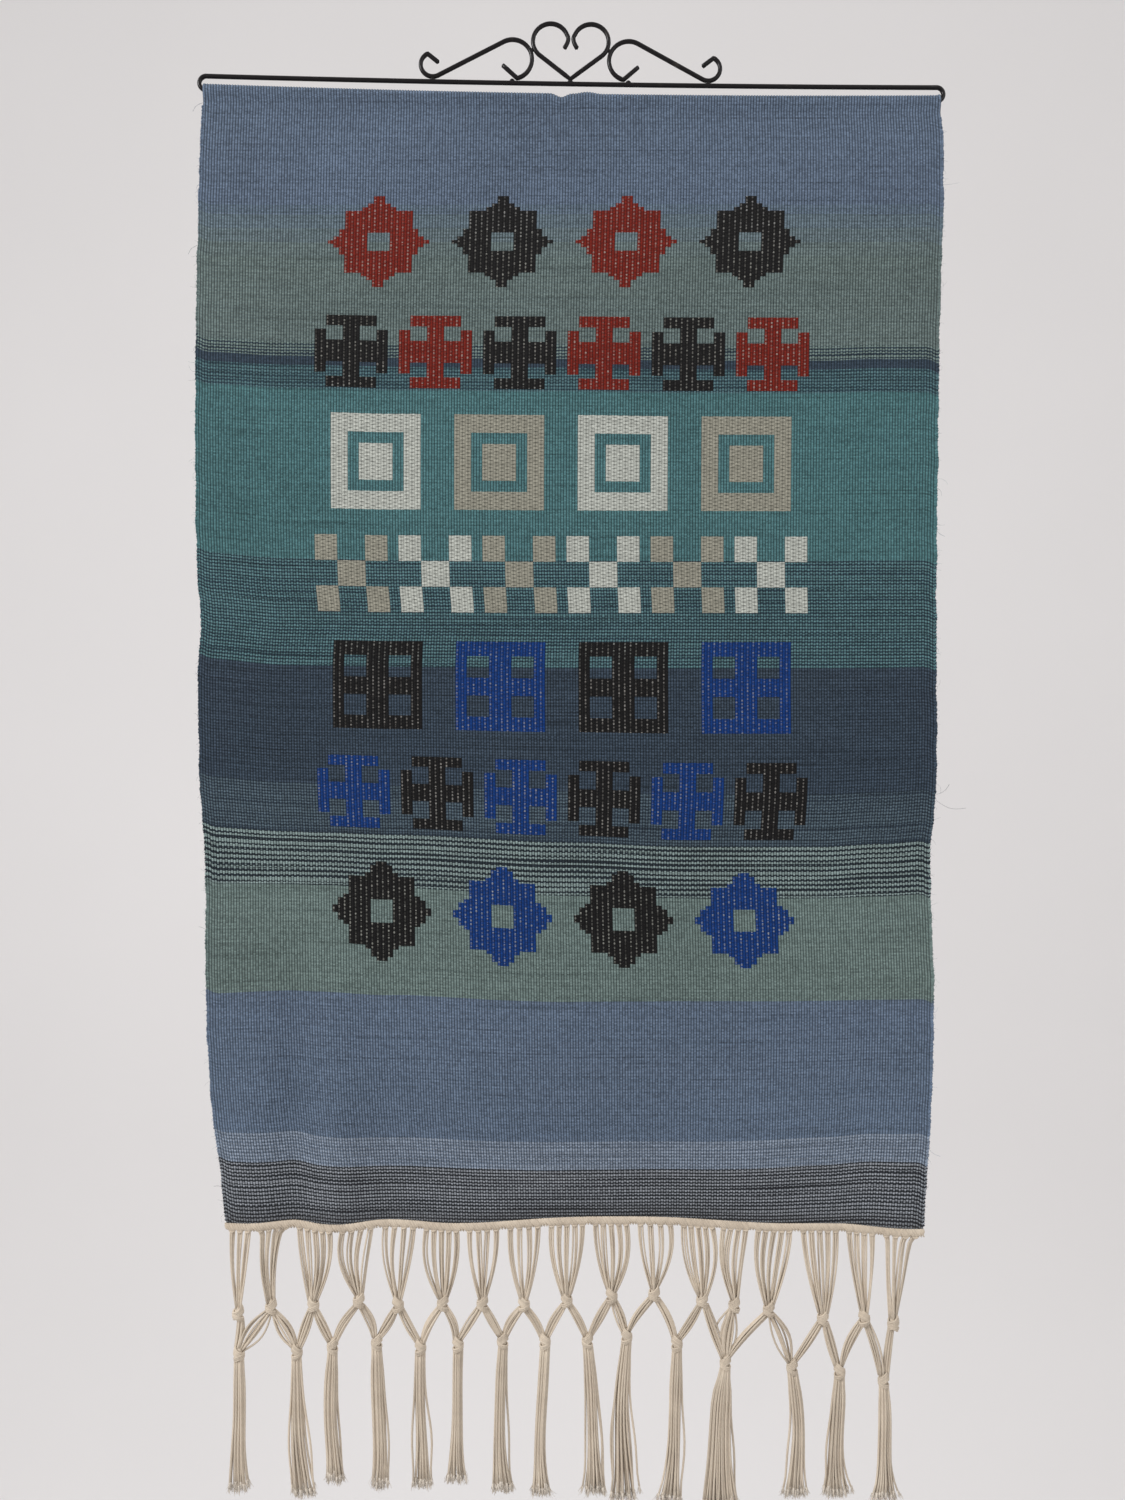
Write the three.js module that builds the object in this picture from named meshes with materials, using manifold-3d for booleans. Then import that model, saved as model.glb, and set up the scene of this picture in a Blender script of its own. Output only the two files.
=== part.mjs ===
// A wool wall hanging: a weft-faced cloth whose top hem is folded over the arms of a bent
// wire hanger, with a knotted cotton fringe along its lower edge.
// Sizes are in millimetres, +Z is up and the front faces -Y. The origin is the notch between
// the two lobes of the hanger's heart, by which it hangs. Heights are measured from there.

import * as THREE from "three";
import { mergeVertices } from "three/addons/utils/BufferGeometryUtils.js";
import Module from "manifold-3d";

const wasm = await Module();
wasm.setup();

const GAP = 0.3; // between pieces that meet
const FLATNESS = 0.03; // how far a joined piece's faces may be evened out

// Hanger: a bar bent back at both ends into two arms, with a heart and two scrolls on it
const WIRE = 3; // diameter
const WIRE_SIDES = 8;
const ARC_STEPS = 7; // half of the steps along one arc
const TILT = THREE.MathUtils.degToRad(0.9); // the right end hangs lower
const BAR = { left: -248, right: 249.6, height: -32.3, sag: 1.5, steps: 8 };
const ARM = { drop: 9.4, sag: 2.8, leftEnd: -14, rightEnd: 1, steps: 4 };
const HEART = { radius: 11.8, offset: 13.5, height: -5.5, neckAngle: 158 };
const HEART_TIP = { pull: [0.3, -4], end: [4.2, -9.8] }; // each lobe's turned-out end
const SCROLL = { radius: 13.1, height: -17.8, endAngle: -75, tail: 12.9, tailAngle: 139 };
const HOOK = { radius: 8, x: -92.1, height: -22.2, startAngle: 116, tail: 9, tailAngle: -38 };

// Cloth
const THICKNESS = 2;
const SLEEVE = { seam: 9, flap: 17, easeSteps: 3, loopSteps: 8 }; // below the arm's centre
const CLOTH_COLUMNS = 18;
const CLOTH_ROWS = 22;

// The cloth's two selvedges, from the top fold down
const SELVEDGES = [
  { height: -34, left: -245.5, right: 246.5 },
  { height: -98, left: -247.5, right: 248 },
  { height: -190, left: -249.5, right: 245.5 },
  { height: -285, left: -250, right: 244 },
  { height: -365, left: -248.5, right: 243 },
  { height: -392, left: -246, right: 243 },
  { height: -420, left: -248, right: 243 },
  { height: -500, left: -247, right: 243 },
  { height: -553, left: -243.5, right: 239 },
  { height: -640, left: -243, right: 241.5 },
  { height: -713, left: -239.5, right: 239.5 },
  { height: -767, left: -232.5, right: 235.5 },
  { height: -797, left: -229.5, right: 233.5 },
];

// The cloth's lower edge, from left to right
const HEM = [
  { x: -230, height: -794.5 },
  { x: -186, height: -793 },
  { x: -166, height: -795 },
  { x: -124, height: -792 },
  { x: -78, height: -794 },
  { x: 16, height: -790.5 },
  { x: 110, height: -793 },
  { x: 181, height: -795 },
  { x: 207, height: -797 },
  { x: 234, height: -797 },
];

// Where the top fold isn't held up: it sinks between the arms' ends and lifts past them
const TOP_RIPPLES = [
  { from: -14, to: 1, rise: -2.4 },
  { from: 1, to: 21, rise: 1.2 },
];

// Soft folds. Each is a ridge towards the front, or with a minus a trough, that starts at
// its top, is full at its peak, is gone at its bottom and leans sideways on the way down.
const FOLDS = [
  { x: 10, lean: 0, top: -60, peak: -430, bottom: -830, width: 170, rise: 2.5 },
  { x: -34, lean: 30, top: -52, peak: -74, bottom: -120, width: 9, rise: -1 },
  { x: -181, lean: 0, top: -560, peak: -715, bottom: -860, width: 15, rise: -3 },
  { x: -155, lean: 8, top: -600, peak: -790, bottom: -900, width: 17, rise: 4 },
  { x: -208, lean: -3, top: -620, peak: -790, bottom: -900, width: 16, rise: 3.5 },
  { x: -60, lean: -10, top: -500, peak: -790, bottom: -950, width: 34, rise: 2.5 },
  { x: 60, lean: 6, top: -560, peak: -800, bottom: -950, width: 30, rise: -1.5 },
  { x: 130, lean: 8, top: -480, peak: -800, bottom: -950, width: 32, rise: 3 },
  { x: 226, lean: 4, top: -640, peak: -800, bottom: -950, width: 22, rise: 4.5 },
];

// Fringe: a heading strip, strands in groups down to a first row of knots, legs down to a
// second row, and a tassel under each knot of that row
const HEADING = { height: 6, depth: 3.6, edge: 2.4, clear: 0.1 };
const STRAND = { radius: 1.4, sides: 3, root: 2, bendAt: 0.55, slack: 0.8, spacing: 2, apart: 1.6 };
const LEG = { radius: 2.1, sides: 4, bow: 1.2, spacing: 4, apart: 1.5 };
const LOCK = { count: 6, sides: 3, gather: 5.2, apart: 1.1, root: 1.3, sway: 1.6, ragged: 5, fan: 2.6 };
const LOCK_RADII = { neck: 0.65, belly: 1.5, tip: 1 };
const LOCK_BENDS = [0, 0.45, 1];
const KNOT = { width: 8.4, depth: 7.2, height: 11.6, sides: 6, levels: 4, ridge: 0.14, turn: 0.5, waist: 0.55 };
const KNOT_HOLD = 3.4; // above and below its centre, where a knot's strands start and end
const LOWER_KNOT_SCALE = 0.95;
const KNOT_Y = -2.2; // the knots hang a little in front of the hanger's plane

// First row of knots; each gathers this many strands of the heading
const UPPER_KNOTS = [
  { x: -222, height: -855, strands: 3 },
  { x: -200, height: -850.5, strands: 4 },
  { x: -172, height: -849, strands: 5 },
  { x: -141.5, height: -846.5, strands: 4 },
  { x: -115.5, height: -849, strands: 4 },
  { x: -85.5, height: -848, strands: 5 },
  { x: -59, height: -848, strands: 4 },
  { x: -31.5, height: -848.5, strands: 4 },
  { x: -3, height: -846, strands: 5 },
  { x: 27, height: -843, strands: 5 },
  { x: 55.5, height: -842, strands: 4 },
  { x: 87.5, height: -846, strands: 5 },
  { x: 109, height: -849, strands: 4 },
  { x: 132, height: -852, strands: 5 },
  { x: 168, height: -858, strands: 5 },
  { x: 195.5, height: -858, strands: 4 },
  { x: 215, height: -861.5, strands: 4 },
];

// Second row of knots: the first-row knots whose legs it ties, and its tassel's end
const LOWER_KNOTS = [
  { x: -221.5, height: -882, from: [1, 2], tipX: -221.5, end: -973.5, spread: 15.5 },
  { x: -183, height: -880.5, from: [2, 3], tipX: -179, end: -976.5, spread: 19.5 },
  { x: -159, height: -876.5, from: [3, 4], tipX: -158, end: -967.5, spread: 16 },
  { x: -129.5, height: -874, from: [4, 5], tipX: -127.5, end: -971, spread: 13.5 },
  { x: -100.5, height: -877.5, from: [5, 6], tipX: -98.5, end: -970.5, spread: 16 },
  { x: -75.5, height: -875.5, from: [6, 7], tipX: -76, end: -967, spread: 14.5 },
  { x: -45.5, height: -873, from: [7, 8], tipX: -45.5, end: -973.5, spread: 16 },
  { x: -17.5, height: -873.5, from: [8, 9], tipX: -21, end: -975.5, spread: 14.5 },
  { x: 11, height: -873, from: [9, 10], tipX: 14.5, end: -975.5, spread: 18 },
  { x: 37, height: -870, from: [10, 11], tipX: 36, end: -979.5, spread: 22.5 },
  { x: 70.5, height: -875, from: [11, 12], tipX: 66.5, end: -981, spread: 19.5 },
  { x: 103, height: -887.5, from: [12, 13, 13, 14], tipX: 100, end: -984.5, spread: 27 },
  { x: 147.5, height: -890.5, from: [14, 15], tipX: 149.5, end: -976.5, spread: 18 },
  { x: 179, height: -893.5, from: [15, 16], tipX: 177, end: -976.5, spread: 19.5 },
  { x: 208.5, height: -899.5, from: [16, 17], tipX: 208.5, end: -979.5, spread: 20 },
];

const { lerp, smoothstep, degToRad } = THREE.MathUtils;

// Value of a table's column at a place along another, on a smooth curve through its rows.
function onTable(table, along, column, place) {
  const rising = table.at(-1)[along] > table[0][along];
  const rows = rising ? table : [...table].reverse();
  let after = rows.findIndex((row) => row[along] > place);
  after = after < 1 ? (after === 0 ? 1 : rows.length - 1) : after;
  const [low, high] = [rows[after - 1], rows[after]];
  const slope = (one, other) => (other[column] - one[column]) / (other[along] - one[along]);
  const step = high[along] - low[along];
  const startSlope = slope(rows[Math.max(after - 2, 0)], high) * step;
  const endSlope = slope(low, rows[Math.min(after + 1, rows.length - 1)]) * step;
  const t = THREE.MathUtils.clamp((place - low[along]) / step, 0, 1);
  const eased = t * t * (3 - 2 * t);
  const pull = t * (1 - t) * ((1 - t) * startSlope - t * endSlope);
  return low[column] + (high[column] - low[column]) * eased + pull;
}

// A repeatable irregular number from -1 to 1 for each pair of a row and a strand in it.
function uneven(row, strand) {
  return Math.sin(97 * row + 31 * strand + 7 * row * strand + 1);
}

// How far the bar or an arm has sunk at x under the straight line between the end bends.
function sagAt(x, depth) {
  const share = (2 * x - BAR.left - BAR.right) / (BAR.right - BAR.left);
  return depth * (1 - share * share);
}

// Closes a stack of rings with as many points each into one solid with flat ends.
function loft(rings) {
  const sides = rings[0].length;
  const faces = [];
  for (let ring = 0; ring + 1 < rings.length; ring++) {
    for (let side = 0; side < sides; side++) {
      const a = ring * sides + side;
      const b = ring * sides + ((side + 1) % sides);
      faces.push(a, b, b + sides, a, b + sides, a + sides);
    }
  }
  const last = (rings.length - 1) * sides;
  for (let side = 1; side + 1 < sides; side++) {
    faces.push(0, side + 1, side, last, last + side, last + side + 1);
  }
  const points = rings.flat().flatMap((point) => point.toArray());
  const geometry = new THREE.BufferGeometry();
  geometry.setAttribute("position", new THREE.Float32BufferAttribute(points, 3));
  geometry.setIndex(faces);
  return geometry;
}

// A round or few-sided rod along points; a corner is mitred so that it keeps its thickness.
function rod(points, radiusAt, sides) {
  const front = new THREE.Vector3(0, -1, 0);
  const rings = points.map((point, index) => {
    const before = points[Math.max(index - 1, 0)];
    const after = points[Math.min(index + 1, points.length - 1)];
    const arriving = point.clone().sub(before).normalize();
    const leaving = after.clone().sub(point).normalize();
    const along = arriving.clone().add(leaving).normalize();
    const across = new THREE.Vector3().crossVectors(front, along).normalize();
    const outward = new THREE.Vector3().crossVectors(along, across);
    const mitre = 1 / Math.max(along.dot(index ? arriving : leaving), 0.5);
    const radius = radiusAt(index / (points.length - 1));
    return Array.from({ length: sides }, (_, side) => {
      const angle = ((side + 0.5) / sides) * 2 * Math.PI;
      return point
        .clone()
        .addScaledVector(across, radius * mitre * Math.cos(angle))
        .addScaledVector(outward, radius * Math.sin(angle));
    });
  });
  return loft(rings);
}

// Hanger wire along a flat path in the hanger's own plane.
function wire(path) {
  const points = path.getPoints(ARC_STEPS).map((p) => new THREE.Vector3(p.x, 0, p.y));
  const apart = points.filter((p, i) => i === 0 || p.distanceTo(points[i - 1]) > 0.05);
  return rod(apart, () => WIRE / 2, WIRE_SIDES);
}

function barGeometry() {
  const bend = ARM.drop / 2;
  const armAt = (x) => BAR.height - ARM.drop - sagAt(x, ARM.sag);
  const [left, right] = [BAR.left + bend, BAR.right - bend];
  const path = new THREE.Path();
  path.moveTo(ARM.leftEnd, armAt(ARM.leftEnd));
  for (let step = 1; step < ARM.steps; step++) {
    const x = lerp(ARM.leftEnd, left, step / ARM.steps);
    path.lineTo(x, armAt(x));
  }
  path.absarc(left, BAR.height - bend, bend, -Math.PI / 2, -1.5 * Math.PI, true);
  for (let step = 1; step < BAR.steps; step++) {
    const x = lerp(left, right, step / BAR.steps);
    path.lineTo(x, BAR.height - sagAt(x, BAR.sag));
  }
  path.absarc(right, BAR.height - bend, bend, Math.PI / 2, -Math.PI / 2, true);
  for (let step = 1; step <= ARM.steps; step++) {
    const x = lerp(right, ARM.rightEnd, step / ARM.steps);
    path.lineTo(x, armAt(x));
  }
  return wire(path);
}

// Height at which a wire's centre line rests on the bar at x.
function restingHeight(x) {
  return BAR.height - sagAt(x, BAR.sag) + WIRE + GAP;
}

// Both lobes are arcs, joined by straight flanks that meet in a point on the bar.
function heartGeometry() {
  const bottom = new THREE.Vector2(0, restingHeight(0));
  const centre = new THREE.Vector2(HEART.offset, HEART.height);
  const reach = centre.clone().sub(bottom);
  const flank = reach.angle() - Math.asin(HEART.radius / reach.length()) - Math.PI / 2;
  const neck = degToRad(HEART.neckAngle);
  const neckPoint = (side) => [
    side * (HEART.offset + HEART.radius * Math.cos(neck)),
    HEART.height + HEART.radius * Math.sin(neck),
  ];
  const [pullX, pullZ] = HEART_TIP.pull;
  const [endX, endZ] = HEART_TIP.end;
  const path = new THREE.Path();
  path.moveTo(-endX, endZ);
  path.quadraticCurveTo(-pullX, pullZ, ...neckPoint(-1));
  path.absarc(-HEART.offset, HEART.height, HEART.radius, Math.PI - neck, Math.PI - flank, false);
  path.lineTo(bottom.x, bottom.y);
  path.absarc(HEART.offset, HEART.height, HEART.radius, flank, neck, false);
  path.quadraticCurveTo(pullX, pullZ, endX, endZ);
  return wire(path);
}

// An S of two arcs and the straight line that touches both. It starts at the outer hook's
// free end and ends in the tail that is bent up from the bar. side is -1 left, 1 right.
function scrollGeometry(side) {
  const clearance = HEART.radius + SCROLL.radius + WIRE + GAP;
  const drop = HEART.height - SCROLL.height;
  const centreX = -HEART.offset - Math.sqrt(clearance ** 2 - drop ** 2);
  const centre = new THREE.Vector2(centreX, SCROLL.height);
  const hook = new THREE.Vector2(HOOK.x, HOOK.height);
  const between = centre.clone().sub(hook);
  const rise = between.angle() + Math.asin((SCROLL.radius + HOOK.radius) / between.length());
  const hookStart = degToRad(HOOK.startAngle);
  const hookTail = degToRad(HOOK.tailAngle);
  const scrollEnd = degToRad(SCROLL.endAngle);
  const scrollTail = degToRad(SCROLL.tailAngle);
  const onArc = (middle, radius, angle) =>
    new THREE.Vector2(Math.cos(angle), Math.sin(angle)).multiplyScalar(radius).add(middle);
  const hookTop = onArc(hook, HOOK.radius, hookStart);
  const freeEnd = onArc(hookTop, HOOK.tail, hookTail);
  const foot = onArc(centre, SCROLL.radius, scrollEnd);
  const tailEnd = onArc(foot, SCROLL.tail, scrollTail);
  const path = new THREE.Path();
  path.moveTo(freeEnd.x, freeEnd.y);
  path.absarc(hook.x, hook.y, HOOK.radius, hookStart, rise - Math.PI / 2, false);
  path.absarc(centre.x, centre.y, SCROLL.radius, rise + Math.PI / 2, scrollEnd, true);
  path.lineTo(tailEnd.x, tailEnd.y);
  if (side < 0) return wire(path);
  const mirrored = path.getPoints(ARC_STEPS).map((p) => new THREE.Vector2(-p.x, p.y));
  return wire(new THREE.Path(mirrored));
}

// Height at x of the arms' centre line after the tilt; past the arms it follows the inside
// of the bends.
function armCentre(x) {
  const level = BAR.height - ARM.drop;
  const bend = ARM.drop / 2;
  const along = x - level * Math.sin(TILT);
  const past = Math.max(BAR.left + bend - along, along - BAR.right + bend, 0);
  const inside = bend - WIRE / 2 - GAP;
  const rise = inside - Math.sqrt(inside ** 2 - past ** 2);
  return (level - sagAt(along, ARM.sag) + rise) * Math.cos(TILT) - along * Math.sin(TILT);
}

function foldDepth(x, height) {
  return FOLDS.reduce((total, fold) => {
    const start = smoothstep(-height, -fold.top, -fold.peak);
    const fade = 1 - smoothstep(-height, -fold.peak, -fold.bottom);
    const middle = fold.x + (fold.lean * (fold.top - height)) / (fold.top - fold.bottom);
    const bell = Math.exp(-(((x - middle) / fold.width) ** 2));
    return total + fold.rise * start * fade * bell;
  }, 0);
}

function topRipple(x) {
  return TOP_RIPPLES.reduce((total, ripple) => {
    const share = THREE.MathUtils.clamp((x - ripple.from) / (ripple.to - ripple.from), 0, 1);
    return total + ripple.rise * Math.sin(Math.PI * share) ** 2;
  }, 0);
}

// Half the distance between the middles of the sleeve's two layers where they are sewn.
const LAYER = (THICKNESS + GAP) / 2;

// Middle of the cloth where it hangs freely.
function hangingPoint(x, height) {
  return new THREE.Vector3(x, -LAYER - foldDepth(x, height), height);
}

// Section of the sleeve round an arm, as [towards the back, above the arm's centre], from
// the flap's lower edge behind, over the arm and down to the seam in front.
function sleeveSection() {
  const loop = WIRE / 2 + GAP + THICKNESS / 2;
  const back = [[LAYER, -SLEEVE.flap]];
  for (let step = 0; step <= SLEEVE.easeSteps; step++) {
    const t = step / SLEEVE.easeSteps;
    back.push([lerp(LAYER, loop, smoothstep(t, 0, 1)), lerp(-SLEEVE.seam, 0, t)]);
  }
  const over = [];
  for (let step = 1; step < SLEEVE.loopSteps; step++) {
    const angle = (Math.PI * step) / SLEEVE.loopSteps;
    over.push([loop * Math.cos(angle), loop * Math.sin(angle)]);
  }
  const front = back.slice(1).reverse().map(([y, z]) => [-y, z]);
  return [...back, ...over, ...front];
}

// Places across the cloth as shares of its width; they close up at the ripples of the top.
function clothColumns() {
  const { left, right } = SELVEDGES[0];
  const shareOf = (x) => (x - left) / (right - left);
  const even = Array.from({ length: CLOTH_COLUMNS + 1 }, (_, column) => column / CLOTH_COLUMNS);
  const rippled = TOP_RIPPLES.flatMap(({ from, to }) => [from, (from + to) / 2, to]).map(shareOf);
  const bends = [BAR.left + ARM.drop / 2, BAR.right - ARM.drop / 2].map(shareOf);
  const low = Math.min(...rippled);
  const high = Math.max(...rippled);
  const clear = even.filter((share) => share < low - 0.01 || share > high + 0.01);
  return [...new Set([...clear, ...rippled, ...bends])].sort((a, b) => a - b);
}

function selvedgePoint(share, height) {
  const left = onTable(SELVEDGES, "height", "left", height);
  const right = onTable(SELVEDGES, "height", "right", height);
  return lerp(left, right, share);
}

// The hem's point at a share of the cloth's width: its x settles its height, and back.
function hemPoint(share) {
  const nearX = selvedgePoint(share, HEM[0].height);
  const height = onTable(HEM, "x", "height", nearX);
  return hangingPoint(selvedgePoint(share, height), height);
}

// Middle of the cloth down one column, from the flap's edge behind to the hem.
function clothColumn(share) {
  const topX = lerp(SELVEDGES[0].left, SELVEDGES[0].right, share);
  const arm = armCentre(topX);
  const sleeve = sleeveSection().map(([y, z]) => {
    const lift = topRipple(topX) * smoothstep(z, -SLEEVE.seam, 0);
    return new THREE.Vector3(topX, y, arm + z + lift);
  });
  const hem = hemPoint(share);
  const start = arm - SLEEVE.seam;
  const rows = Array.from({ length: CLOTH_ROWS }, (_, row) => {
    const height = lerp(start, hem.z, (row + 1) / CLOTH_ROWS);
    const point = hangingPoint(selvedgePoint(share, height), height);
    point.x = lerp(topX, point.x, smoothstep(start - height, 0, SLEEVE.flap));
    return point;
  });
  return [...sleeve, ...rows];
}

// Gives a grid of points a thickness, half on each side, and closes it along its edges.
function sheet(grid, thickness) {
  const columns = grid.length;
  const rows = grid[0].length;
  const normalAt = (column, row) => {
    const next = grid[Math.min(column + 1, columns - 1)][row];
    const previous = grid[Math.max(column - 1, 0)][row];
    const below = grid[column][Math.min(row + 1, rows - 1)];
    const above = grid[column][Math.max(row - 1, 0)];
    const across = next.clone().sub(previous);
    const down = below.clone().sub(above);
    return across.cross(down).normalize();
  };
  const points = [];
  for (const side of [0.5, -0.5]) {
    for (let column = 0; column < columns; column++) {
      for (let row = 0; row < rows; row++) {
        const normal = normalAt(column, row);
        const point = grid[column][row].clone().addScaledVector(normal, side * thickness);
        points.push(...point.toArray());
      }
    }
  }
  const faces = [];
  const other = columns * rows;
  const quad = (a, b, c, d) => faces.push(a, b, c, a, c, d);
  for (let column = 0; column + 1 < columns; column++) {
    for (let row = 0; row + 1 < rows; row++) {
      const a = column * rows + row;
      quad(a, a + rows, a + rows + 1, a + 1);
      quad(other + a, other + a + 1, other + a + rows + 1, other + a + rows);
    }
    const top = column * rows;
    const bottom = top + rows - 1;
    quad(top, other + top, other + top + rows, top + rows);
    quad(bottom + rows, other + bottom + rows, other + bottom, bottom);
  }
  for (let row = 0; row + 1 < rows; row++) {
    const left = row;
    const right = (columns - 1) * rows + row;
    quad(left + 1, other + left + 1, other + left, left);
    quad(right, other + right, other + right + 1, right + 1);
  }
  const geometry = new THREE.BufferGeometry();
  geometry.setAttribute("position", new THREE.Float32BufferAttribute(points, 3));
  geometry.setIndex(faces);
  return geometry;
}

function clothGeometry() {
  return sheet(clothColumns().map(clothColumn), THICKNESS);
}

// The strip that the fringe is twined onto, just under the cloth's lower edge. It keeps a
// little further off where a fold tips that edge.
function headingGeometry() {
  const rings = clothColumns().map((share) => {
    const hem = hemPoint(share);
    const top = hem.z - GAP - HEADING.clear * Math.abs(foldDepth(hem.x, hem.z));
    const section = [
      [HEADING.edge / 2, 0],
      [-HEADING.edge / 2, 0],
      [-HEADING.depth / 2, -HEADING.height / 2],
      [-HEADING.edge / 2, -HEADING.height],
      [HEADING.edge / 2, -HEADING.height],
      [HEADING.depth / 2, -HEADING.height / 2],
    ];
    return section.map(([y, z]) => new THREE.Vector3(hem.x, hem.y + y, top + z));
  });
  return loft(rings);
}

// A barrel whose raised ridges wind round it as the wrapped threads do.
function knotGeometry(centre, scale) {
  const rings = Array.from({ length: KNOT.levels }, (_, level) => {
    const share = level / (KNOT.levels - 1);
    const swell = lerp(KNOT.waist, 1, Math.sin(Math.PI * share));
    return Array.from({ length: KNOT.sides }, (_, side) => {
      const angle = (side / KNOT.sides) * 2 * Math.PI + KNOT.turn * level;
      const reach = swell * (1 + (side % 2 ? KNOT.ridge : -KNOT.ridge)) * scale;
      const x = centre.x + (KNOT.width / 2) * reach * Math.cos(angle);
      const y = centre.y + (KNOT.depth / 2) * reach * Math.sin(angle);
      return new THREE.Vector3(x, y, centre.z + KNOT.height * scale * (share - 0.5));
    });
  });
  return loft(rings);
}

function knotCentre(row) {
  return new THREE.Vector3(row.x, KNOT_Y, row.height);
}

// Straight strands from the heading, gathered side by side at the top of their knot.
function strandsOf(row, index) {
  const before = UPPER_KNOTS[index - 1] ?? { x: 2 * HEM[0].x - row.x };
  const after = UPPER_KNOTS[index + 1] ?? { x: 2 * HEM.at(-1).x - row.x };
  const shareAt = (x) => (x - HEM[0].x) / (HEM.at(-1).x - HEM[0].x);
  const from = shareAt((row.x + before.x) / 2);
  const to = shareAt((row.x + after.x) / 2);
  return Array.from({ length: row.strands }, (_, strand) => {
    const place = (strand + 0.5) / row.strands;
    const hem = hemPoint(lerp(from, to, place));
    const root = new THREE.Vector3(hem.x, hem.y, hem.z - HEADING.height + STRAND.root);
    const inFront = strand % 2 ? STRAND.apart : -STRAND.apart;
    const sideways = (place - 0.5) * STRAND.spacing * (row.strands - 1);
    const end = knotCentre(row).add(new THREE.Vector3(sideways, inFront, KNOT_HOLD));
    const middle = root.clone().lerp(end, STRAND.bendAt);
    middle.x += STRAND.slack * uneven(index, strand);
    return rod([root, middle, end], () => STRAND.radius, STRAND.sides);
  });
}

// Legs from the first row of knots down to one knot of the second.
function legsOf(row, index) {
  return row.from.map((number, leg) => {
    const upper = UPPER_KNOTS[number - 1];
    const away = (Math.sign(row.x - upper.x) * LEG.spacing) / 2;
    const start = knotCentre(upper).add(new THREE.Vector3(away, 0, -KNOT_HOLD));
    const sideways = LEG.spacing * (leg / (row.from.length - 1) - 0.5);
    const inFront = leg % 2 ? LEG.apart : -LEG.apart;
    const end = knotCentre(row).add(new THREE.Vector3(sideways, inFront, KNOT_HOLD));
    const middle = start.clone().lerp(end, 0.5);
    middle.x += LEG.bow * uneven(index, leg);
    return rod([start, middle, end], () => LEG.radius, LEG.sides);
  });
}

// Locks of a tassel: close together under their knot, then swaying apart to its full spread.
function locksOf(row, index) {
  return Array.from({ length: LOCK.count }, (_, lock) => {
    const place = lock / (LOCK.count - 1) - 0.5;
    const layer = lock % 2 ? 1 : -1;
    const root = new THREE.Vector3(place * LOCK.gather, layer * LOCK.apart, -LOCK.root);
    const top = knotCentre(row).add(root);
    const end = row.end + LOCK.ragged * Math.abs(uneven(index, lock));
    const tip = new THREE.Vector3(row.tipX + place * row.spread, KNOT_Y + layer * LOCK.fan, end);
    const points = LOCK_BENDS.map((share) => {
      const point = top.clone().lerp(tip, share);
      point.x += LOCK.sway * share * Math.sin(1.5 * Math.PI * share + index);
      return point;
    });
    const radii = [LOCK_RADII.neck, LOCK_RADII.belly, LOCK_RADII.tip];
    return rod(points, (share) => radii[Math.round(share * (radii.length - 1))], LOCK.sides);
  });
}

// Joins closed geometries into one.
function joined(geometries) {
  const solids = geometries.map((geometry) => {
    const merged = mergeVertices(geometry, 1e-4);
    const vertProperties = merged.attributes.position.array;
    const triVerts = new Uint32Array(merged.index.array);
    return new wasm.Manifold(new wasm.Mesh({ numProp: 3, vertProperties, triVerts }));
  });
  const mesh = solids.reduce((whole, solid) => whole.add(solid)).simplify(FLATNESS).getMesh();
  const geometry = new THREE.BufferGeometry();
  geometry.setAttribute("position", new THREE.BufferAttribute(mesh.vertProperties, 3));
  geometry.setIndex(new THREE.BufferAttribute(mesh.triVerts, 1));
  return geometry;
}

function fringeGeometry() {
  return joined([
    headingGeometry(),
    ...UPPER_KNOTS.flatMap(strandsOf),
    ...UPPER_KNOTS.map((row) => knotGeometry(knotCentre(row), 1)),
    ...LOWER_KNOTS.flatMap(legsOf),
    ...LOWER_KNOTS.map((row) => knotGeometry(knotCentre(row), LOWER_KNOT_SCALE)),
    ...LOWER_KNOTS.flatMap(locksOf),
  ]);
}

function named(name, geometry, material) {
  geometry.computeVertexNormals();
  const mesh = new THREE.Mesh(geometry, material);
  mesh.name = name;
  return mesh;
}

const lacquer = () => new THREE.MeshStandardMaterial({ color: 0x16120f, roughness: 0.35, metalness: 0.6 });
const wool = new THREE.MeshStandardMaterial({ color: 0x57666b, roughness: 0.95, metalness: 0 });
const cotton = new THREE.MeshStandardMaterial({ color: 0xb9ab98, roughness: 0.9, metalness: 0 });

const hanger = new THREE.Group();
hanger.rotation.y = TILT;
hanger.add(named("bar", barGeometry(), lacquer()));
hanger.add(named("heart", heartGeometry(), lacquer()));
hanger.add(named("scroll_left", scrollGeometry(-1), lacquer()));
hanger.add(named("scroll_right", scrollGeometry(1), lacquer()));

const wallHanging = new THREE.Group();
wallHanging.add(hanger);
wallHanging.add(named("cloth", clothGeometry(), wool));
wallHanging.add(named("fringe", fringeGeometry(), cotton));

export default wallHanging;
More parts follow.
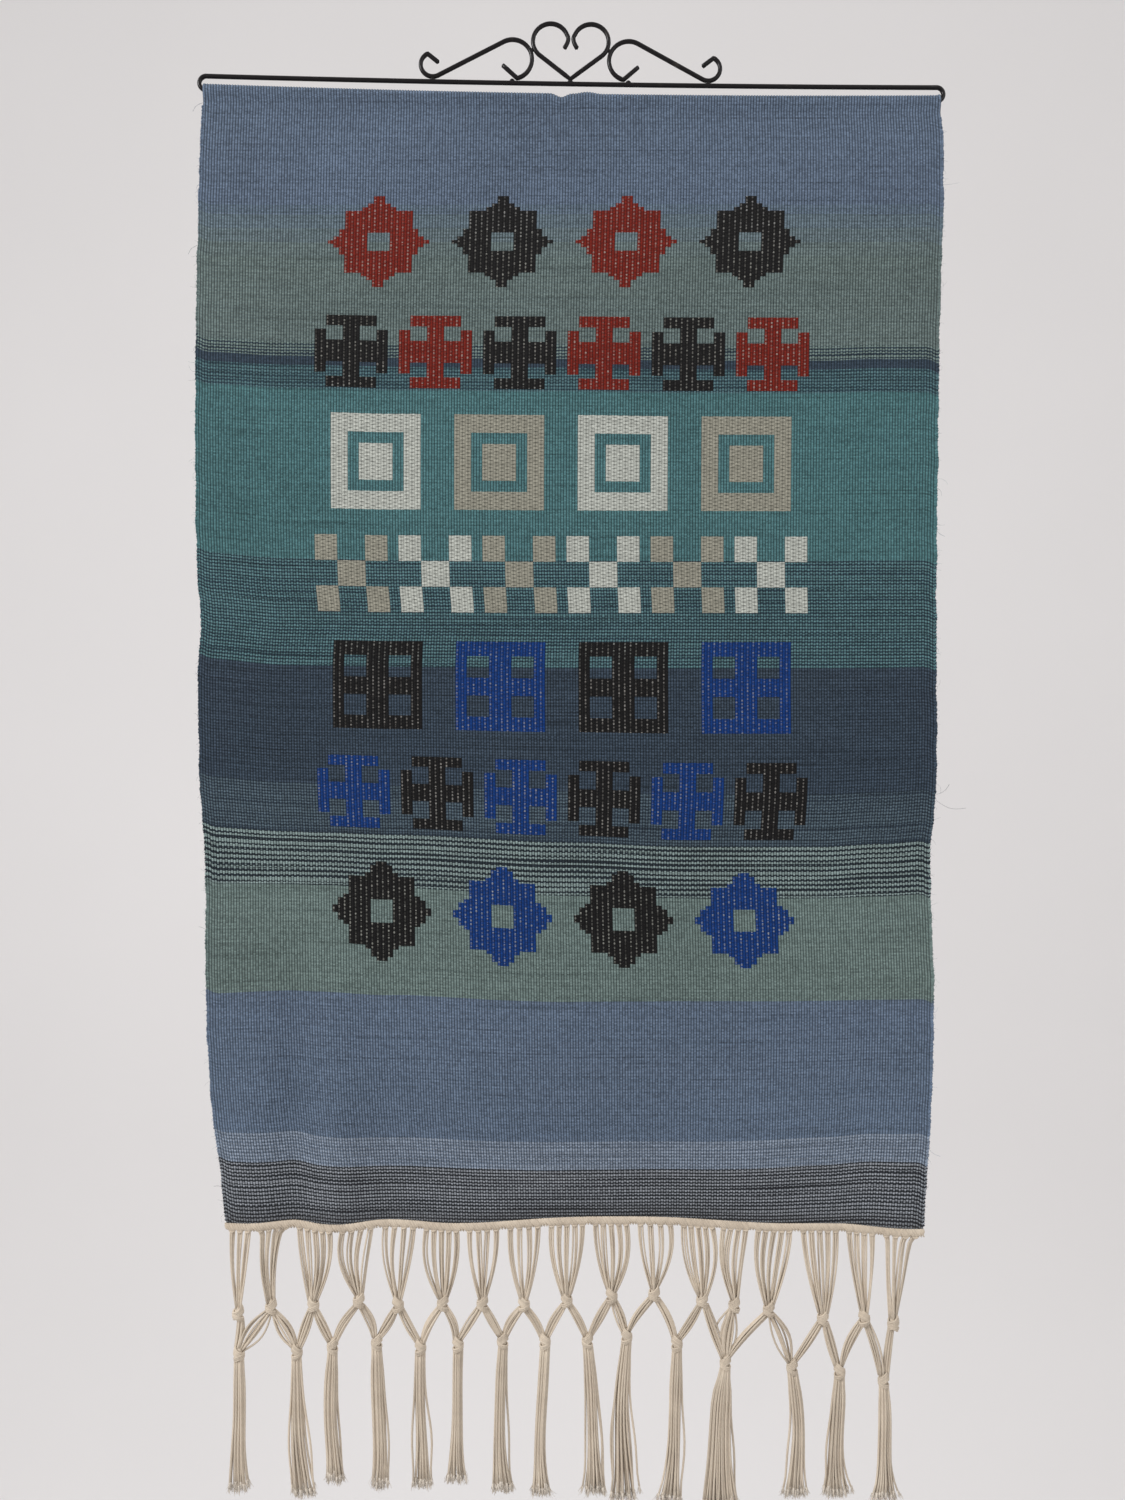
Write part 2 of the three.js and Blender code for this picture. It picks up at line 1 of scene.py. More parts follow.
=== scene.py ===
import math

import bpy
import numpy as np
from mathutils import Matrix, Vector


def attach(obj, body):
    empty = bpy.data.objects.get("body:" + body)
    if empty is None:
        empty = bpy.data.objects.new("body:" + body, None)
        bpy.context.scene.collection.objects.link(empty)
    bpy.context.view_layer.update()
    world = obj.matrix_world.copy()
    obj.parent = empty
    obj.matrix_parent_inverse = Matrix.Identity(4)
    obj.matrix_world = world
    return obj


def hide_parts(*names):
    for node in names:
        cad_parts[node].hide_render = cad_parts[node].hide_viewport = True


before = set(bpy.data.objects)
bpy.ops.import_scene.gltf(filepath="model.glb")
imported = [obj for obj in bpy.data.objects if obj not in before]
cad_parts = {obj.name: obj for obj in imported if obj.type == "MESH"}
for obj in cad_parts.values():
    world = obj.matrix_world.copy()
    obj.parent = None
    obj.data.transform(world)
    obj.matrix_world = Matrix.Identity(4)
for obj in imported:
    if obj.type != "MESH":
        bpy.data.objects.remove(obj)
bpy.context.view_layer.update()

# A wool wall hanging: a weft-faced cloth with inlaid figures, folded over the arms of a bent
# wire hanger, with a knotted cotton fringe along its lower edge.
# Tables are in millimetres in the frame's axes: +Z is up, the front faces -Y and the origin
# is the notch of the hanger's heart. Meshes are made from them in metres.

bl_info = {
    "name": "Wool wall hanging",
    "version": (1, 0, 0),
    "blender": (4, 5, 0),
    "location": "3D View > Sidebar > Hanging",
    "description": "Builds a woven wall hanging with a knotted fringe on its wire hanger",
    "category": "Add Mesh",
}

MM = 0.001
TURN = 2 * math.pi
FRONT = np.array([0.0, -1.0, 0.0])
UP = np.array([0.0, 0.0, 1.0])
MIDDLE = 0.5  # of anything that goes from 0 to 1
END_REACH = 0.6  # how far a tube's end point stands past its last ring, in radii
SAME_POINT = 0.05

# Hanger
WIRE = 3.0
WIRE_SIDES = 18
WIRE_STEP = 4.0  # degrees between the points of an arc
WELD = {"reach": 1.7, "radius": 1.25, "sides": 12}
TILT = math.radians(0.9)
GAP = 0.3
BAR = {"left": -248.0, "right": 249.6, "height": -32.3, "sag": 1.5}
ARM = {"drop": 9.4, "sag": 2.8, "left_end": -14.0, "right_end": 1.0}
HEART = {"radius": 11.8, "offset": 13.5, "height": -5.5, "neck": 158.0}
HEART_TIP = {"pull": (0.3, -4.0), "end": (4.2, -9.8)}
SCROLL = {"radius": 13.1, "height": -17.8, "end": -75.0, "tail": 12.9, "tail_angle": 139.0}
HOOK = {"radius": 8.0, "x": -92.1, "height": -22.2, "start": 116.0, "tail": 9.0, "tail_angle": -38.0}

# Cloth
THICKNESS = 2.0
LAYER = (THICKNESS + GAP) / 2
SLEEVE = {"seam": 9.0, "flap": 17.0}
RIBS = 264
CLOTH_ROWS = 58  # rows of faces between the seam and the hem
RIB_WANDER = 0.25  # how far ribs differ in height, as a share of it
SLACK = {"from": 60, "over": 120, "depth": 0.4}
SCALLOP = {"depth": 0.45, "length": 5.5, "power": 12}  # small waves of the selvedges
PICK = 1.08  # height of one weft thread as beaten down
TALL_PAIRS = (542.0, 575.5)  # between these depths a pair of picks is half as tall again
CLOTH_WIDTH = 490.0  # the width that the weave map stands for
CLOTH_DEPTH = 800.0  # the depth that the whole height of the weave map stands for

# The two selvedges: height, left, right
SELVEDGES = np.array([
    (-34, -245.5, 246.5), (-98, -247.5, 248), (-190, -249.5, 245.5), (-285, -250, 244),
    (-365, -248.5, 243), (-392, -246, 243), (-420, -248, 243), (-500, -247, 243),
    (-553, -243.5, 239), (-640, -243, 241.5), (-713, -239.5, 239.5), (-767, -232.5, 235.5),
    (-797, -229.5, 233.5),
], float)

# The lower edge: x, height
HEM = np.array([
    (-230, -794.5), (-186, -793), (-166, -795), (-124, -792), (-78, -794), (16, -790.5),
    (110, -793), (181, -795), (207, -797), (234, -797),
], float)

# Ripples of the top fold: from, to, rise
TOP_RIPPLES = [(-14, 1, -2.4), (1, 21, 1.2)]

# Soft folds: x, lean, top, peak, bottom, width, rise towards the front
FOLDS = [
    (10, 0, -60, -430, -830, 170, 2.5), (-34, 30, -52, -74, -120, 9, -1),
    (-181, 0, -560, -715, -860, 15, -3), (-155, 8, -600, -790, -900, 17, 4),
    (-208, -3, -620, -790, -900, 16, 3.5), (-60, -10, -500, -790, -950, 34, 2.5),
    (60, 6, -560, -800, -950, 30, -1.5), (130, 8, -480, -800, -950, 32, 3),
    (226, 4, -640, -800, -950, 22, 4.5),
]

# How far the weft lines lie above a level line: for each depth, at the places across
BOW_PLACES = np.array([-250.0, -188, -168, -120, -6, 80, 168, 205, 250])
BOW = np.array([
    (30, 0, 0, 0, 0, 0, 0, 0, 0, 0), (160, 1, 0, 0, 0, 0, 0, 0, 0, 0.5),
    (213, 5, 2.6, 2.2, 1, 0, -1, -1, 0, 0), (424, 7, 2.2, 1.8, 1, 0, 0, 0, 0.3, 0.8),
    (542, 14, 10.5, 9.7, 8, 3.2, 0, 0, 2, 5), (575, 10, 9.6, 9.2, 7, 2, 0, 0, 1.5, 3.5),
    (645, 5, 7.1, 6.6, 4, 0, 0, 0.5, 1, 1.5), (757, 6, 6.3, 3.3, 3, 0, 0, 3.5, 6, 7),
    (800, 1, 1, 1, 1, 0, 0, 0.5, 1, 1),
], float)

# Colour bands from the top down: depth at which each starts and the colours of its two kinds
# of weft picks, in 0-255 values
BANDS = [
    (0, (85, 98, 116), (79, 92, 109)),
    (113, (86, 99, 115), (78, 93, 105)),
    (121, (88, 102, 112), (80, 94, 102)),
    (130, (90, 103, 109), (81, 95, 99)),
    (139, (91, 104, 104), (83, 96, 97)),
    (150, (91, 104, 102), (83, 96, 96)),
    (209, (94, 109, 106), (37, 50, 60)),
    (218.5, (45, 57, 69), (40, 53, 65)),
    (225, (69, 96, 101), (37, 57, 66)),
    (238, (34, 47, 57), (39, 54, 64)),
    (240.5, (68, 103, 106), (60, 93, 97)),
    (352, (75, 105, 109), (35, 53, 63)),
    (423.5, (53, 65, 78), (37, 48, 59)),
    (508, (69, 83, 92), (39, 50, 61)),
    (542, (111, 126, 125), (30, 38, 45)),
    (575.5, (98, 113, 110), (90, 105, 103)),
    (645, (90, 103, 121), (81, 95, 113)),
    (739, (118, 128, 142), (88, 99, 114)),
    (758.5, (121, 125, 131), (36, 39, 44)),
]

# Inlaid rows: depth of the middle, half the height of a figure, figures across, steps from
# one to the next, form, colours. A step is two ribs wide and one row tall.
FIELD_SHIFT = -1  # steps from the middle of the cloth
FIGURES = [
    (140, 33, 4, 22, "star", "red", "black"),
    (214.5, 25, 6, 15, "cross", "black", "red"),
    (288, 32, 4, 22, "frame", "white", "beige"),
    (362, 25, 6, 15, "checks", "beige", "white"),
    (438, 32, 4, 22, "window", "black", "blue"),
    (514, 25, 6, 15, "cross", "blue", "black"),
    (593, 35, 4, 22, "star", "black", "blue"),
]
FLOAT_ROW = 2.44  # height of one row of inlaid threads
# Long loose hairs at the selvedges: x and height of the root and of the tip
LONG_HAIRS = np.array([
    (-246, -47, -252, -54), (-249, -142, -255, -149), (244, -513, 263, -518), (244, -509, 252, -502),
    (238, -744, 246, -750), (-242, -602, -248, -597), (243, -330, 249, -337), (-232, -772, -238, -770),
], float)
TURNS = {"inset": 0.35, "radius": 0.62}  # of weft round the selvedges
HAIR = {"count": 420, "length": 0.75, "radius": 0.07, "bow": 0.14, "long_radius": 0.09}
STITCH = {
    "count": 96, "radius": 0.38, "out": 1.15, "swell": 0.45, "dive": 2.1, "above": 1.8,
    "length": 3.4, "map": 0.05,
}
EDGE_RIBS = 5  # ribs beside each selvedge over which the picks run at a slant
EDGE_SLIP = 3.2  # how far they rise at the left selvedge and drop at the right

# Parts of each figure, as shares of half its height
FORMS = {
    "star": {"hole": 0.2, "upright": 0.66, "turned": 0.98},
    "cross": {"arm": 0.26, "bar": 0.62, "bar_from": 0.72, "outer": 1.0},
    "frame": {"middle": 0.36, "inner": 0.62, "outer": 0.98},
    "checks": {"middle": 0.32, "gap": 0.36, "outer": 0.98},
    "window": {"bar": 0.2, "rim": 0.68, "outer": 0.98},
}
PALE_WOOLS = ("white", "beige")

# Look of the wool. Unevenness: waves across the cloth, waves to a pick (for clouds, down the
# cloth) and a place in the noise.
STREAKS = (9, 0.83, 0.0)
DRIFTS = (3, 1.31, 8.0)
CLOUDS = (4, 7, 3.0)
BAND_EDGE = 1.6  # how far a band's edge wavers
# Pairs of picks: how far the second rib's pair lies lower, how far pairs waver, the share of
# a pair that its first pick takes, how much drift changes that, how soon a bead narrows
PAIR = {"stagger": 0.12, "waver": 0.3, "height": 0.54, "drift": 1.1, "narrowing": 0.75}
# Shades: of the whole, by each kind of unevenness, where drift darkens, of inlaid threads, and the
# painted shade in the gaps between them
SHADE = {
    "whole": 1.02, "streak": 0.6, "cloud": 0.36, "fleck": 0.44, "dark": 0.2, "dark_from": 0.6,
    "dark_slope": 8, "thread": 0.86, "gap": 0.12,
}
# Inlaid threads: the gaps between them, darkened as painted shade, and the ties that hold them
FLOAT = {
    "gap": 0.45, "gap_width": 0.9, "gap_height": 7, "tie_place": 0.25, "tie_width": 0.15,
    "tie_height": 0.36,
}
# Painted shade and light on the ribs: the level in a groove, added on a crest, added on a bead over
# its mean, and the level under the inlay
PAINTED_RIB_SHADE = {"groove": 0.25, "crest": 0.98, "bead": 0.34, "inlay": 0.92}
ARCH_MEAN = 0.6  # about the mean of an arch
TIE_COLOUR = (176, 170, 160)
RUBBED_COLOUR = (74, 66, 58)  # lacquer worn thin
# Depths of the fine relief, in metres
WEAVE_RELIEF = 0.0005
PLY_RELIEF = 0.0003
LACQUER_RELIEF = 0.0002

# Fringe
HEADING = {
    "height": 6.0, "depth": 3.6, "width": 470, "past": 0.003, "rounding": 0.004, "steps": 520,
    "sides": 14, "turns": 250,
}
ARCH = {"rise": 1.5, "from": 1.3, "over": 1.6}  # of the heading's lower edge between strands
STRAND = {"apart": 1.55, "spread": 2.6}
KNOT = {"width": 8.2, "depth": 7.0, "height": 11.5, "round": 1.04}
# A knot's two wraps: threads, height of the middle, slope, how far it stands out
WRAPS = [(5, 1.1, 2.3, 0.0), (3, -2.6, -1.7, 0.05)]
KNOT_Y = -2.2
LOWER_KNOT_SCALE = 0.97
KNOT_HOLD = 3.2
GROUP_WIDTH = 0.87  # how much of its stretch of the heading a knot's strands take up

# First row of knots: x, height, strands, how late the strands draw together, sideways bow
UPPER_KNOTS = np.array([
    (-222, -855, 3, 1.3, -1), (-200, -850.5, 4, 0.36, -1.5), (-172, -849, 5, 1.49, 1),
    (-141.5, -846.5, 4, 1.89, -3), (-115.5, -849, 4, 1.49, -1.2), (-85.5, -848, 5, 2.13, -0.5),
    (-59, -848, 4, 1.28, 0), (-31.5, -848.5, 4, 1.89, 0), (-3, -846, 5, 1.62, 0),
    (27, -843, 5, 2.46, 1), (55.5, -842, 4, 1.76, 0.5), (87.5, -846, 5, 2.29, 1),
    (109, -849, 4, 1.76, -2.8), (132, -852, 5, 1.62, -2), (168, -858, 5, 1.22, 0),
    (195.5, -858, 4, 1.22, 0.3), (215, -861.5, 4, 0.45, 0),
], float)

LEG = {
    "threads": 9, "away": 1.6, "apart": 1.5, "wide": 2.9, "deep": 0.9, "bow": 1.2, "firm": 0.35,
    "loose": 2.0,
}

# Second row: x, height, first-row knots whose legs it ties, tip x, end, spread
LOWER_KNOTS = [
    (-221.5, -882, (1, 2), -221.5, -973.5, 15.5), (-183, -880.5, (2, 3), -179, -976.5, 19.5),
    (-159, -876.5, (3, 4), -158, -967.5, 16), (-129.5, -874, (4, 5), -127.5, -971, 13.5),
    (-100.5, -877.5, (5, 6), -98.5, -970.5, 16), (-75.5, -875.5, (6, 7), -76, -967, 14.5),
    (-45.5, -873, (7, 8), -45.5, -973.5, 16), (-17.5, -873.5, (8, 9), -21, -975.5, 14.5),
    (11, -873, (9, 10), 14.5, -975.5, 18), (37, -870, (10, 11), 36, -979.5, 22.5),
    (70.5, -875, (11, 12), 66.5, -981, 19.5), (103, -887.5, (12, 13, 13, 14), 100, -984.5, 27),
    (147.5, -890.5, (14, 15), 149.5, -976.5, 18), (179, -893.5, (15, 16), 177, -976.5, 19.5),
    (208.5, -899.5, (16, 17), 208.5, -979.5, 20),
]

# Tassels: width halfway down, how late they flare, sideways bow, strays at the left and right
TASSELS = [
    (6.9, 3, 0, 0, 0), (6.5, 1.8, -1, 1, 1), (8, 5, -1.5, 0, 1), (7.6, 4, 0.5, 0, 1),
    (5.8, 3, -1, 1, 1), (5.4, 5, -0.6, 0, 0), (6.6, 5, -2, 0, 1), (5.6, 6, -0.8, 0, 0),
    (6.8, 5, 1.5, 1, 2), (7.6, 3, -2.5, 2, 2), (7.4, 6, 0.5, 0, 1), (12, 3, -2.5, 0, 1),
    (7.2, 5, 2.5, 1, 0), (8, 6, -0.8, 1, 0), (7.4, 6, 1, 0, 0),
]
TASSEL = {
    "threads": 12, "neck": (3.0, 1.8), "body": 0.56, "body_depth": 1.9, "tip_depth": 1.8,
    "swell": 0.25, "fray": 3.6,
}
FRAY = {"hairs": 13, "root": 0.2, "taper": 0.12, "lowest": -985.5}
# Frayed end of a thread: how far below its last point, and how wide against the thread
BRUSH = np.array([(-1.5, 0.8), (0.2, 1.05), (1.6, 0.95), (3.0, 0.7), (4.2, 0.42), (5.2, 0.12)])
LOOSE_LEGS = [(0, 1), (1, 0), (11, 2), (12, 0)]  # tassel and leg, counted from nought

# Stage, in metres; the camera's middle and view are in millimetres
SWEEP = {"front": -4.5, "floor": -3.4, "back": 1.6, "bend": 1.6, "top": 4.5, "half": 6.0}
WORLD = {"colour": (1.0, 0.985, 0.98), "strength": 0.72}
# Lamps: name, place, size, share of the key light's power
LAMPS = [
    ("key", (-2.0, -1.35, 0.9), 0.9, 1.0),
    ("fill", (1.7, -1.8, 0.8), 1.8, 0.32),
    ("behind", (0.5, 1.9, 0.9), 1.6, 0.5),
]
# The view is 1500 rows of 0.669 mm high
CAMERA = {"middle": (-5.7, 0.0, -479.3), "film": 36, "view_height": 1500 * 0.669}


def linear(channels):
    """0-255 screen values as the linear colour that a shader works in."""
    c = np.array(channels, float) / 255
    return tuple(np.where(c <= 0.04045, c / 12.92, ((c + 0.055) / 1.055) ** 2.4))


def eased(t):
    """0 to 1 without a corner: 3t^2 - 2t^3, held outside."""
    t = np.clip(t, 0, 1)
    return t * t * (3 - 2 * t)


def hump(t):
    """Up from 0 to 1 and back to 0: sin(pi t)."""
    return np.sin(math.pi * t)


def mixed(low, high, share):
    """The first where share is 0, the second where it is 1, and a straight line between."""
    return low + (high - low) * share


def coordinates(*parts):
    """x, y and z put together, each stretched to the shape of the others."""
    return np.stack(np.broadcast_arrays(*parts), -1)


def on_table(places, values, at):
    """Smooth curve through a table: an eased step from row to row plus t(1-t) times the
    slopes of the neighbouring rows."""
    order = np.argsort(places)
    places = places[order]
    values = values[order]
    high = np.clip(np.searchsorted(places, at, side="right"), 1, len(places) - 1)
    low = high - 1
    before = np.maximum(low - 1, 0)
    beyond = np.minimum(high + 1, len(places) - 1)
    step = places[high] - places[low]
    t = np.clip((at - places[low]) / step, 0, 1)
    start = (values[high] - values[before]) / (places[high] - places[before]) * step
    end = (values[beyond] - values[low]) / (places[beyond] - places[low]) * step
    slope = t * (1 - t) * ((1 - t) * start - t * end)
    return mixed(values[low], values[high], eased(t)) + slope


def wander(at, seed):
    """Slow irregular wave from about -1 to 1: the mean of three sines that never line up."""
    waves = np.sin(at + seed) + np.sin(at * 1.73 + 2.1 * seed) + np.sin(at * 0.61 + 4.7 * seed)
    return waves / 3


def unit(vectors):
    """The same directions with a length of one."""
    return vectors / np.maximum(np.linalg.norm(vectors, axis=-1, keepdims=True), 1e-9)


class Surface:
    """Points in millimetres, the faces between them, and at each face corner its place on
    the surface's map. tint is one number for each point."""

    def __init__(self, points, quads, quad_map, tris=(), tri_map=(), tint=None):
        self.points = np.asarray(points, float).reshape(-1, 3)
        self.quads = np.asarray(quads, int).reshape(-1, 4)
        self.quad_map = np.asarray(quad_map, float).reshape(-1, 2)
        self.tris = np.asarray(tris, int).reshape(-1, 3)
        self.tri_map = np.asarray(tri_map, float).reshape(-1, 2)
        self.tint = np.full(len(self.points), MIDDLE) if tint is None else np.ravel(tint)


def joined(surfaces):
    """Several surfaces as one, each one's point numbers moved on past the last one's."""
    starts = np.cumsum([0] + [len(s.points) for s in surfaces[:-1]])
    return Surface(
        np.concatenate([s.points for s in surfaces]),
        np.concatenate([s.quads + start for s, start in zip(surfaces, starts)]),
        np.concatenate([s.quad_map for s in surfaces]),
        np.concatenate([s.tris + start for s, start in zip(surfaces, starts)]),
        np.concatenate([s.tri_map for s in surfaces]),
        np.concatenate([s.tint for s in surfaces]),
    )


def tubes(paths, radii, sides, reference=FRONT, tint=None, map_at=None):
    """Round tubes along many paths at once. A ring's point is path + radius * (cos a across
    + sin a outward), where across stands square to the reference and the path. A point past
    each end closes it. The map runs round the tube and along it in metres, unless map_at
    gives each tube one place of its own."""
    paths = np.asarray(paths, float)
    count, steps = paths.shape[:2]
    radii = np.broadcast_to(np.asarray(radii, float), (count, steps))
    along = unit(np.gradient(paths, axis=1))
    across = unit(np.cross(reference, along))
    outward = np.cross(along, across)
    angle = np.arange(sides)[:, None] / sides * TURN
    ring = across[:, :, None] * np.cos(angle) + outward[:, :, None] * np.sin(angle)
    rings = paths[:, :, None] + radii[:, :, None, None] * ring
    start = paths[:, 0] - along[:, 0] * radii[:, :1] * END_REACH
    end = paths[:, -1] + along[:, -1] * radii[:, -1:] * END_REACH
    points = np.concatenate([rings.reshape(-1, 3), start, end])

    tube, step, side = np.meshgrid(
        np.arange(count), np.arange(steps - 1), np.arange(sides), indexing="ij"
    )
    first = (tube * steps + step) * sides
    following = (side + 1) % sides
    quads = np.stack(
        [first + side, first + following, first + sides + following, first + sides + side], -1
    )
    pieces = np.linalg.norm(np.diff(paths, axis=1, prepend=paths[:, :1]), axis=-1)
    length = np.cumsum(pieces, axis=1) * MM
    low, high = length[tube, step], length[tube, step + 1]
    left, right = side / sides, (side + 1) / sides
    quad_map = np.stack([left, low, right, low, right, high, left, high], -1)

    tube, side = np.meshgrid(np.arange(count), np.arange(sides), indexing="ij")
    following = (side + 1) % sides
    base, top = tube * steps * sides, (tube * steps + steps - 1) * sides
    pole = count * steps * sides + tube
    tris = np.concatenate([
        np.stack([pole, base + following, base + side], -1).reshape(-1, 3),
        np.stack([pole + count, top + side, top + following], -1).reshape(-1, 3),
    ])
    left, right = side / sides, (side + 1) / sides
    low, high = length[tube, 0], length[tube, -1]
    tri_map = np.concatenate([
        np.stack([left, low, right, low, left, low], -1).reshape(-1, 2),
        np.stack([left, high, left, high, right, high], -1).reshape(-1, 2),
    ])
    if map_at is not None:
        quad_map = np.repeat(map_at, (steps - 1) * sides * 4, axis=0)
        tri_map = np.tile(np.repeat(map_at, sides * 3, axis=0), (2, 1))
    tint = np.full(count, MIDDLE) if tint is None else tint
    tints = np.concatenate([np.repeat(tint, steps * sides), tint, tint])
    return Surface(points, quads, quad_map, tris, tri_map, tints)


def put_mesh(name, surface, material, map_name, flat_from=None):
    """Makes the surface an object at the origin that rides on the frame's one body. Faces
    from the number flat_from on are shaded flat."""
    mesh = bpy.data.meshes.new(name)
    mesh.vertices.add(len(surface.points))
    mesh.vertices.foreach_set("co", (surface.points * MM).astype(np.float32).ravel())
    corners = np.concatenate([surface.quads.ravel(), surface.tris.ravel()])
    starts = np.concatenate([
        np.arange(len(surface.quads)) * 4,
        len(surface.quads) * 4 + np.arange(len(surface.tris)) * 3,
    ])
    mesh.loops.add(len(corners))
    mesh.loops.foreach_set("vertex_index", corners.astype(np.int32))
    mesh.polygons.add(len(starts))
    mesh.polygons.foreach_set("loop_start", starts.astype(np.int32))
    smooth = np.ones(len(starts), bool)
    if flat_from is not None:
        smooth[flat_from:] = False
    mesh.polygons.foreach_set("use_smooth", smooth)
    mesh.update(calc_edges=True)
    uv = mesh.uv_layers.new(name=map_name)
    corner_map = np.concatenate([surface.quad_map, surface.tri_map]).astype(np.float32)
    uv.data.foreach_set("uv", corner_map.ravel())
    tint = mesh.attributes.new("tint", "FLOAT", "POINT")
    tint.data.foreach_set("value", surface.tint.astype(np.float32))
    if mesh.validate():
        raise ValueError(f"{name} has faces that can't be used")
    mesh.materials.append(material)
    made = bpy.data.objects.new(name, mesh)
    bpy.context.scene.collection.objects.link(made)
    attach(made, "root")
    return made


# Materials


class Level:
    """A value that changes over a surface. Arithmetic on it adds Math nodes."""

    def __init__(self, finish, socket):
        self.finish = finish
        self.socket = socket

    def __add__(self, other):
        return self.finish.maths("ADD", self, other)

    __radd__ = __add__

    def __sub__(self, other):
        return self.finish.maths("SUBTRACT", self, other)

    def __rsub__(self, other):
        return self.finish.maths("SUBTRACT", other, self)

    def __mul__(self, other):
        return self.finish.maths("MULTIPLY", self, other)

    __rmul__ = __mul__

    def __truediv__(self, other):
        return self.finish.maths("DIVIDE", self, other)

    def __gt__(self, other):
        return self.finish.maths("GREATER_THAN", self, other)

    def __lt__(self, other):
        return self.finish.maths("LESS_THAN", self, other)

    def floor(self):
        return self.finish.maths("FLOOR", self)

    def fract(self):
        return self.finish.maths("FRACT", self)

    def size(self):
        return self.finish.maths("ABSOLUTE", self)

    def least(self, other):
        return self.finish.maths("MINIMUM", self, other)

    def most(self, other):
        return self.finish.maths("MAXIMUM", self, other)

    def held(self):
        """The value, but never under 0 or over 1."""
        return self.most(0).least(1)

    def about(self, spread):
        """Noise from 0 to 1 as a level that goes half the spread either side of nought."""
        return (self - MIDDLE) * spread

    def arch(self):
        """0 at each whole number and 1 midway: sin(pi x) of the part after the point."""
        return self.finish.maths("SINE", self.fract() * math.pi)

    def odd(self):
        """1 where the whole number below the value is odd, else 0."""
        return (self.floor() * 0.5).fract() > 0.25


class Finish:
    """A material and the nodes that make it."""

    def __init__(self, name):
        self.material = bpy.data.materials.new(name)
        self.material.use_nodes = True
        self.tree = self.material.node_tree
        self.shader = self.tree.nodes["Principled BSDF"]

    def node(self, kind, settings, sockets):
        """Any node: its type, its settings, and the values or links of its sockets."""
        made = self.tree.nodes.new(kind)
        for name, value in settings.items():
            setattr(made, name, value)
        self.feed(made, sockets)
        return made

    def feed(self, node, sockets):
        inputs = {socket.identifier: socket for socket in node.inputs}
        for name, value in sockets.items():
            if isinstance(value, Level):
                value = value.socket
            if isinstance(value, bpy.types.NodeSocket):
                self.tree.links.new(value, inputs[name])
            else:
                inputs[name].default_value = value

    def maths(self, operation, *values):
        names = ("Value", "Value_001")
        made = self.node("ShaderNodeMath", {"operation": operation}, dict(zip(names, values)))
        return Level(self, made.outputs["Value"])

    def mix(self, share, first, second):
        """The second colour where share is 1, and the first where it is 0."""
        colours = [(*c, 1) if isinstance(c, tuple) else c for c in (first, second)]
        sockets = {"Factor_Float": share, "A_Color": colours[0], "B_Color": colours[1]}
        return self.node("ShaderNodeMix", {"data_type": "RGBA"}, sockets).outputs[2]

    def shaded(self, colour, level):
        """A colour times a level."""
        sockets = {"Vector": colour, "Scale": level}
        return self.node("ShaderNodeVectorMath", {"operation": "SCALE"}, sockets).outputs["Vector"]

    def place(self, x, y, z=0.0):
        return self.node("ShaderNodeCombineXYZ", {}, {"X": x, "Y": y, "Z": z}).outputs[0]

    def own_map(self, name):
        uv = self.node("ShaderNodeUVMap", {"uv_map": name}, {})
        parts = self.node("ShaderNodeSeparateXYZ", {}, {"Vector": uv.outputs[0]})
        return Level(self, parts.outputs["X"]), Level(self, parts.outputs["Y"])

    def own_value(self, name):
        made = self.node("ShaderNodeAttribute", {"attribute_name": name}, {})
        return Level(self, made.outputs["Fac"])

    def noise(self, vector=None, scale=1.0, detail=1.0, roughness=0.5):
        """Smooth noise from 0 to 1 about the middle, on the object's own axes if no other."""
        if vector is None:
            vector = self.node("ShaderNodeTexCoord", {}, {}).outputs["Object"]
        sockets = {"Vector": vector, "Scale": scale, "Detail": detail, "Roughness": roughness}
        return Level(self, self.node("ShaderNodeTexNoise", {}, sockets).outputs[0])

    def chance(self, vector):
        """A different number from 0 to 1 for each whole place."""
        made = self.node("ShaderNodeTexWhiteNoise", {"noise_dimensions": "3D"}, {"Vector": vector})
        return Level(self, made.outputs["Value"])

    def bands(self, share, stops):
        """One colour for each stretch of share; stops are pairs of a start and a colour."""
        made = self.node("ShaderNodeValToRGB", {}, {"Fac": share})
        ramp = made.color_ramp
        ramp.interpolation = "CONSTANT"
        for index, (start, colour) in enumerate(stops):
            stop = ramp.elements[index] if index < 2 else ramp.elements.new(start)
            stop.position = start
            stop.color = (*colour, 1)
        return made.outputs["Color"]

    def bumped(self, height, distance, strength):
        sockets = {"Height": height, "Distance": distance, "Strength": strength}
        return self.node("ShaderNodeBump", {}, sockets).outputs["Normal"]

    def surface(self, **sockets):
        """Feeds the shader's own sockets and gives the finished material."""
        self.feed(self.shader, {name.replace("_", " "): value for name, value in sockets.items()})
        return self.material


def figure_mask(form, x, y, half):
    """1 inside a figure. x and y are sizes from its middle, and the forms are made of them:
    star is two squares, one turned, with a hole; cross has bars across its four ends; frame
    is a square in a square; checks are five of nine squares; window is four panes."""
    wide = x.most(y)
    narrow = x.least(y)
    part = {name: share * half for name, share in FORMS[form].items()}
    if form == "star":
        squares = (wide < part["upright"]).most((x + y) < part["turned"])
        return squares * (1 - (wide < part["hole"]))
    if form == "cross":
        arms = (narrow < part["arm"]) * (wide < part["outer"])
        bars = (narrow < part["bar"]) * (wide < part["outer"]) * (wide > part["bar_from"])
        return arms.most(bars)
    if form == "frame":
        rim = (wide < part["outer"]) * (wide > part["inner"])
        return rim.most(wide < part["middle"])
    if form == "checks":
        corners = (narrow > part["gap"]) * (wide < part["outer"])
        return corners.most(wide < part["middle"])
    bars = (narrow < part["bar"]).most(wide > part["rim"])
    return bars * (wide < part["outer"])


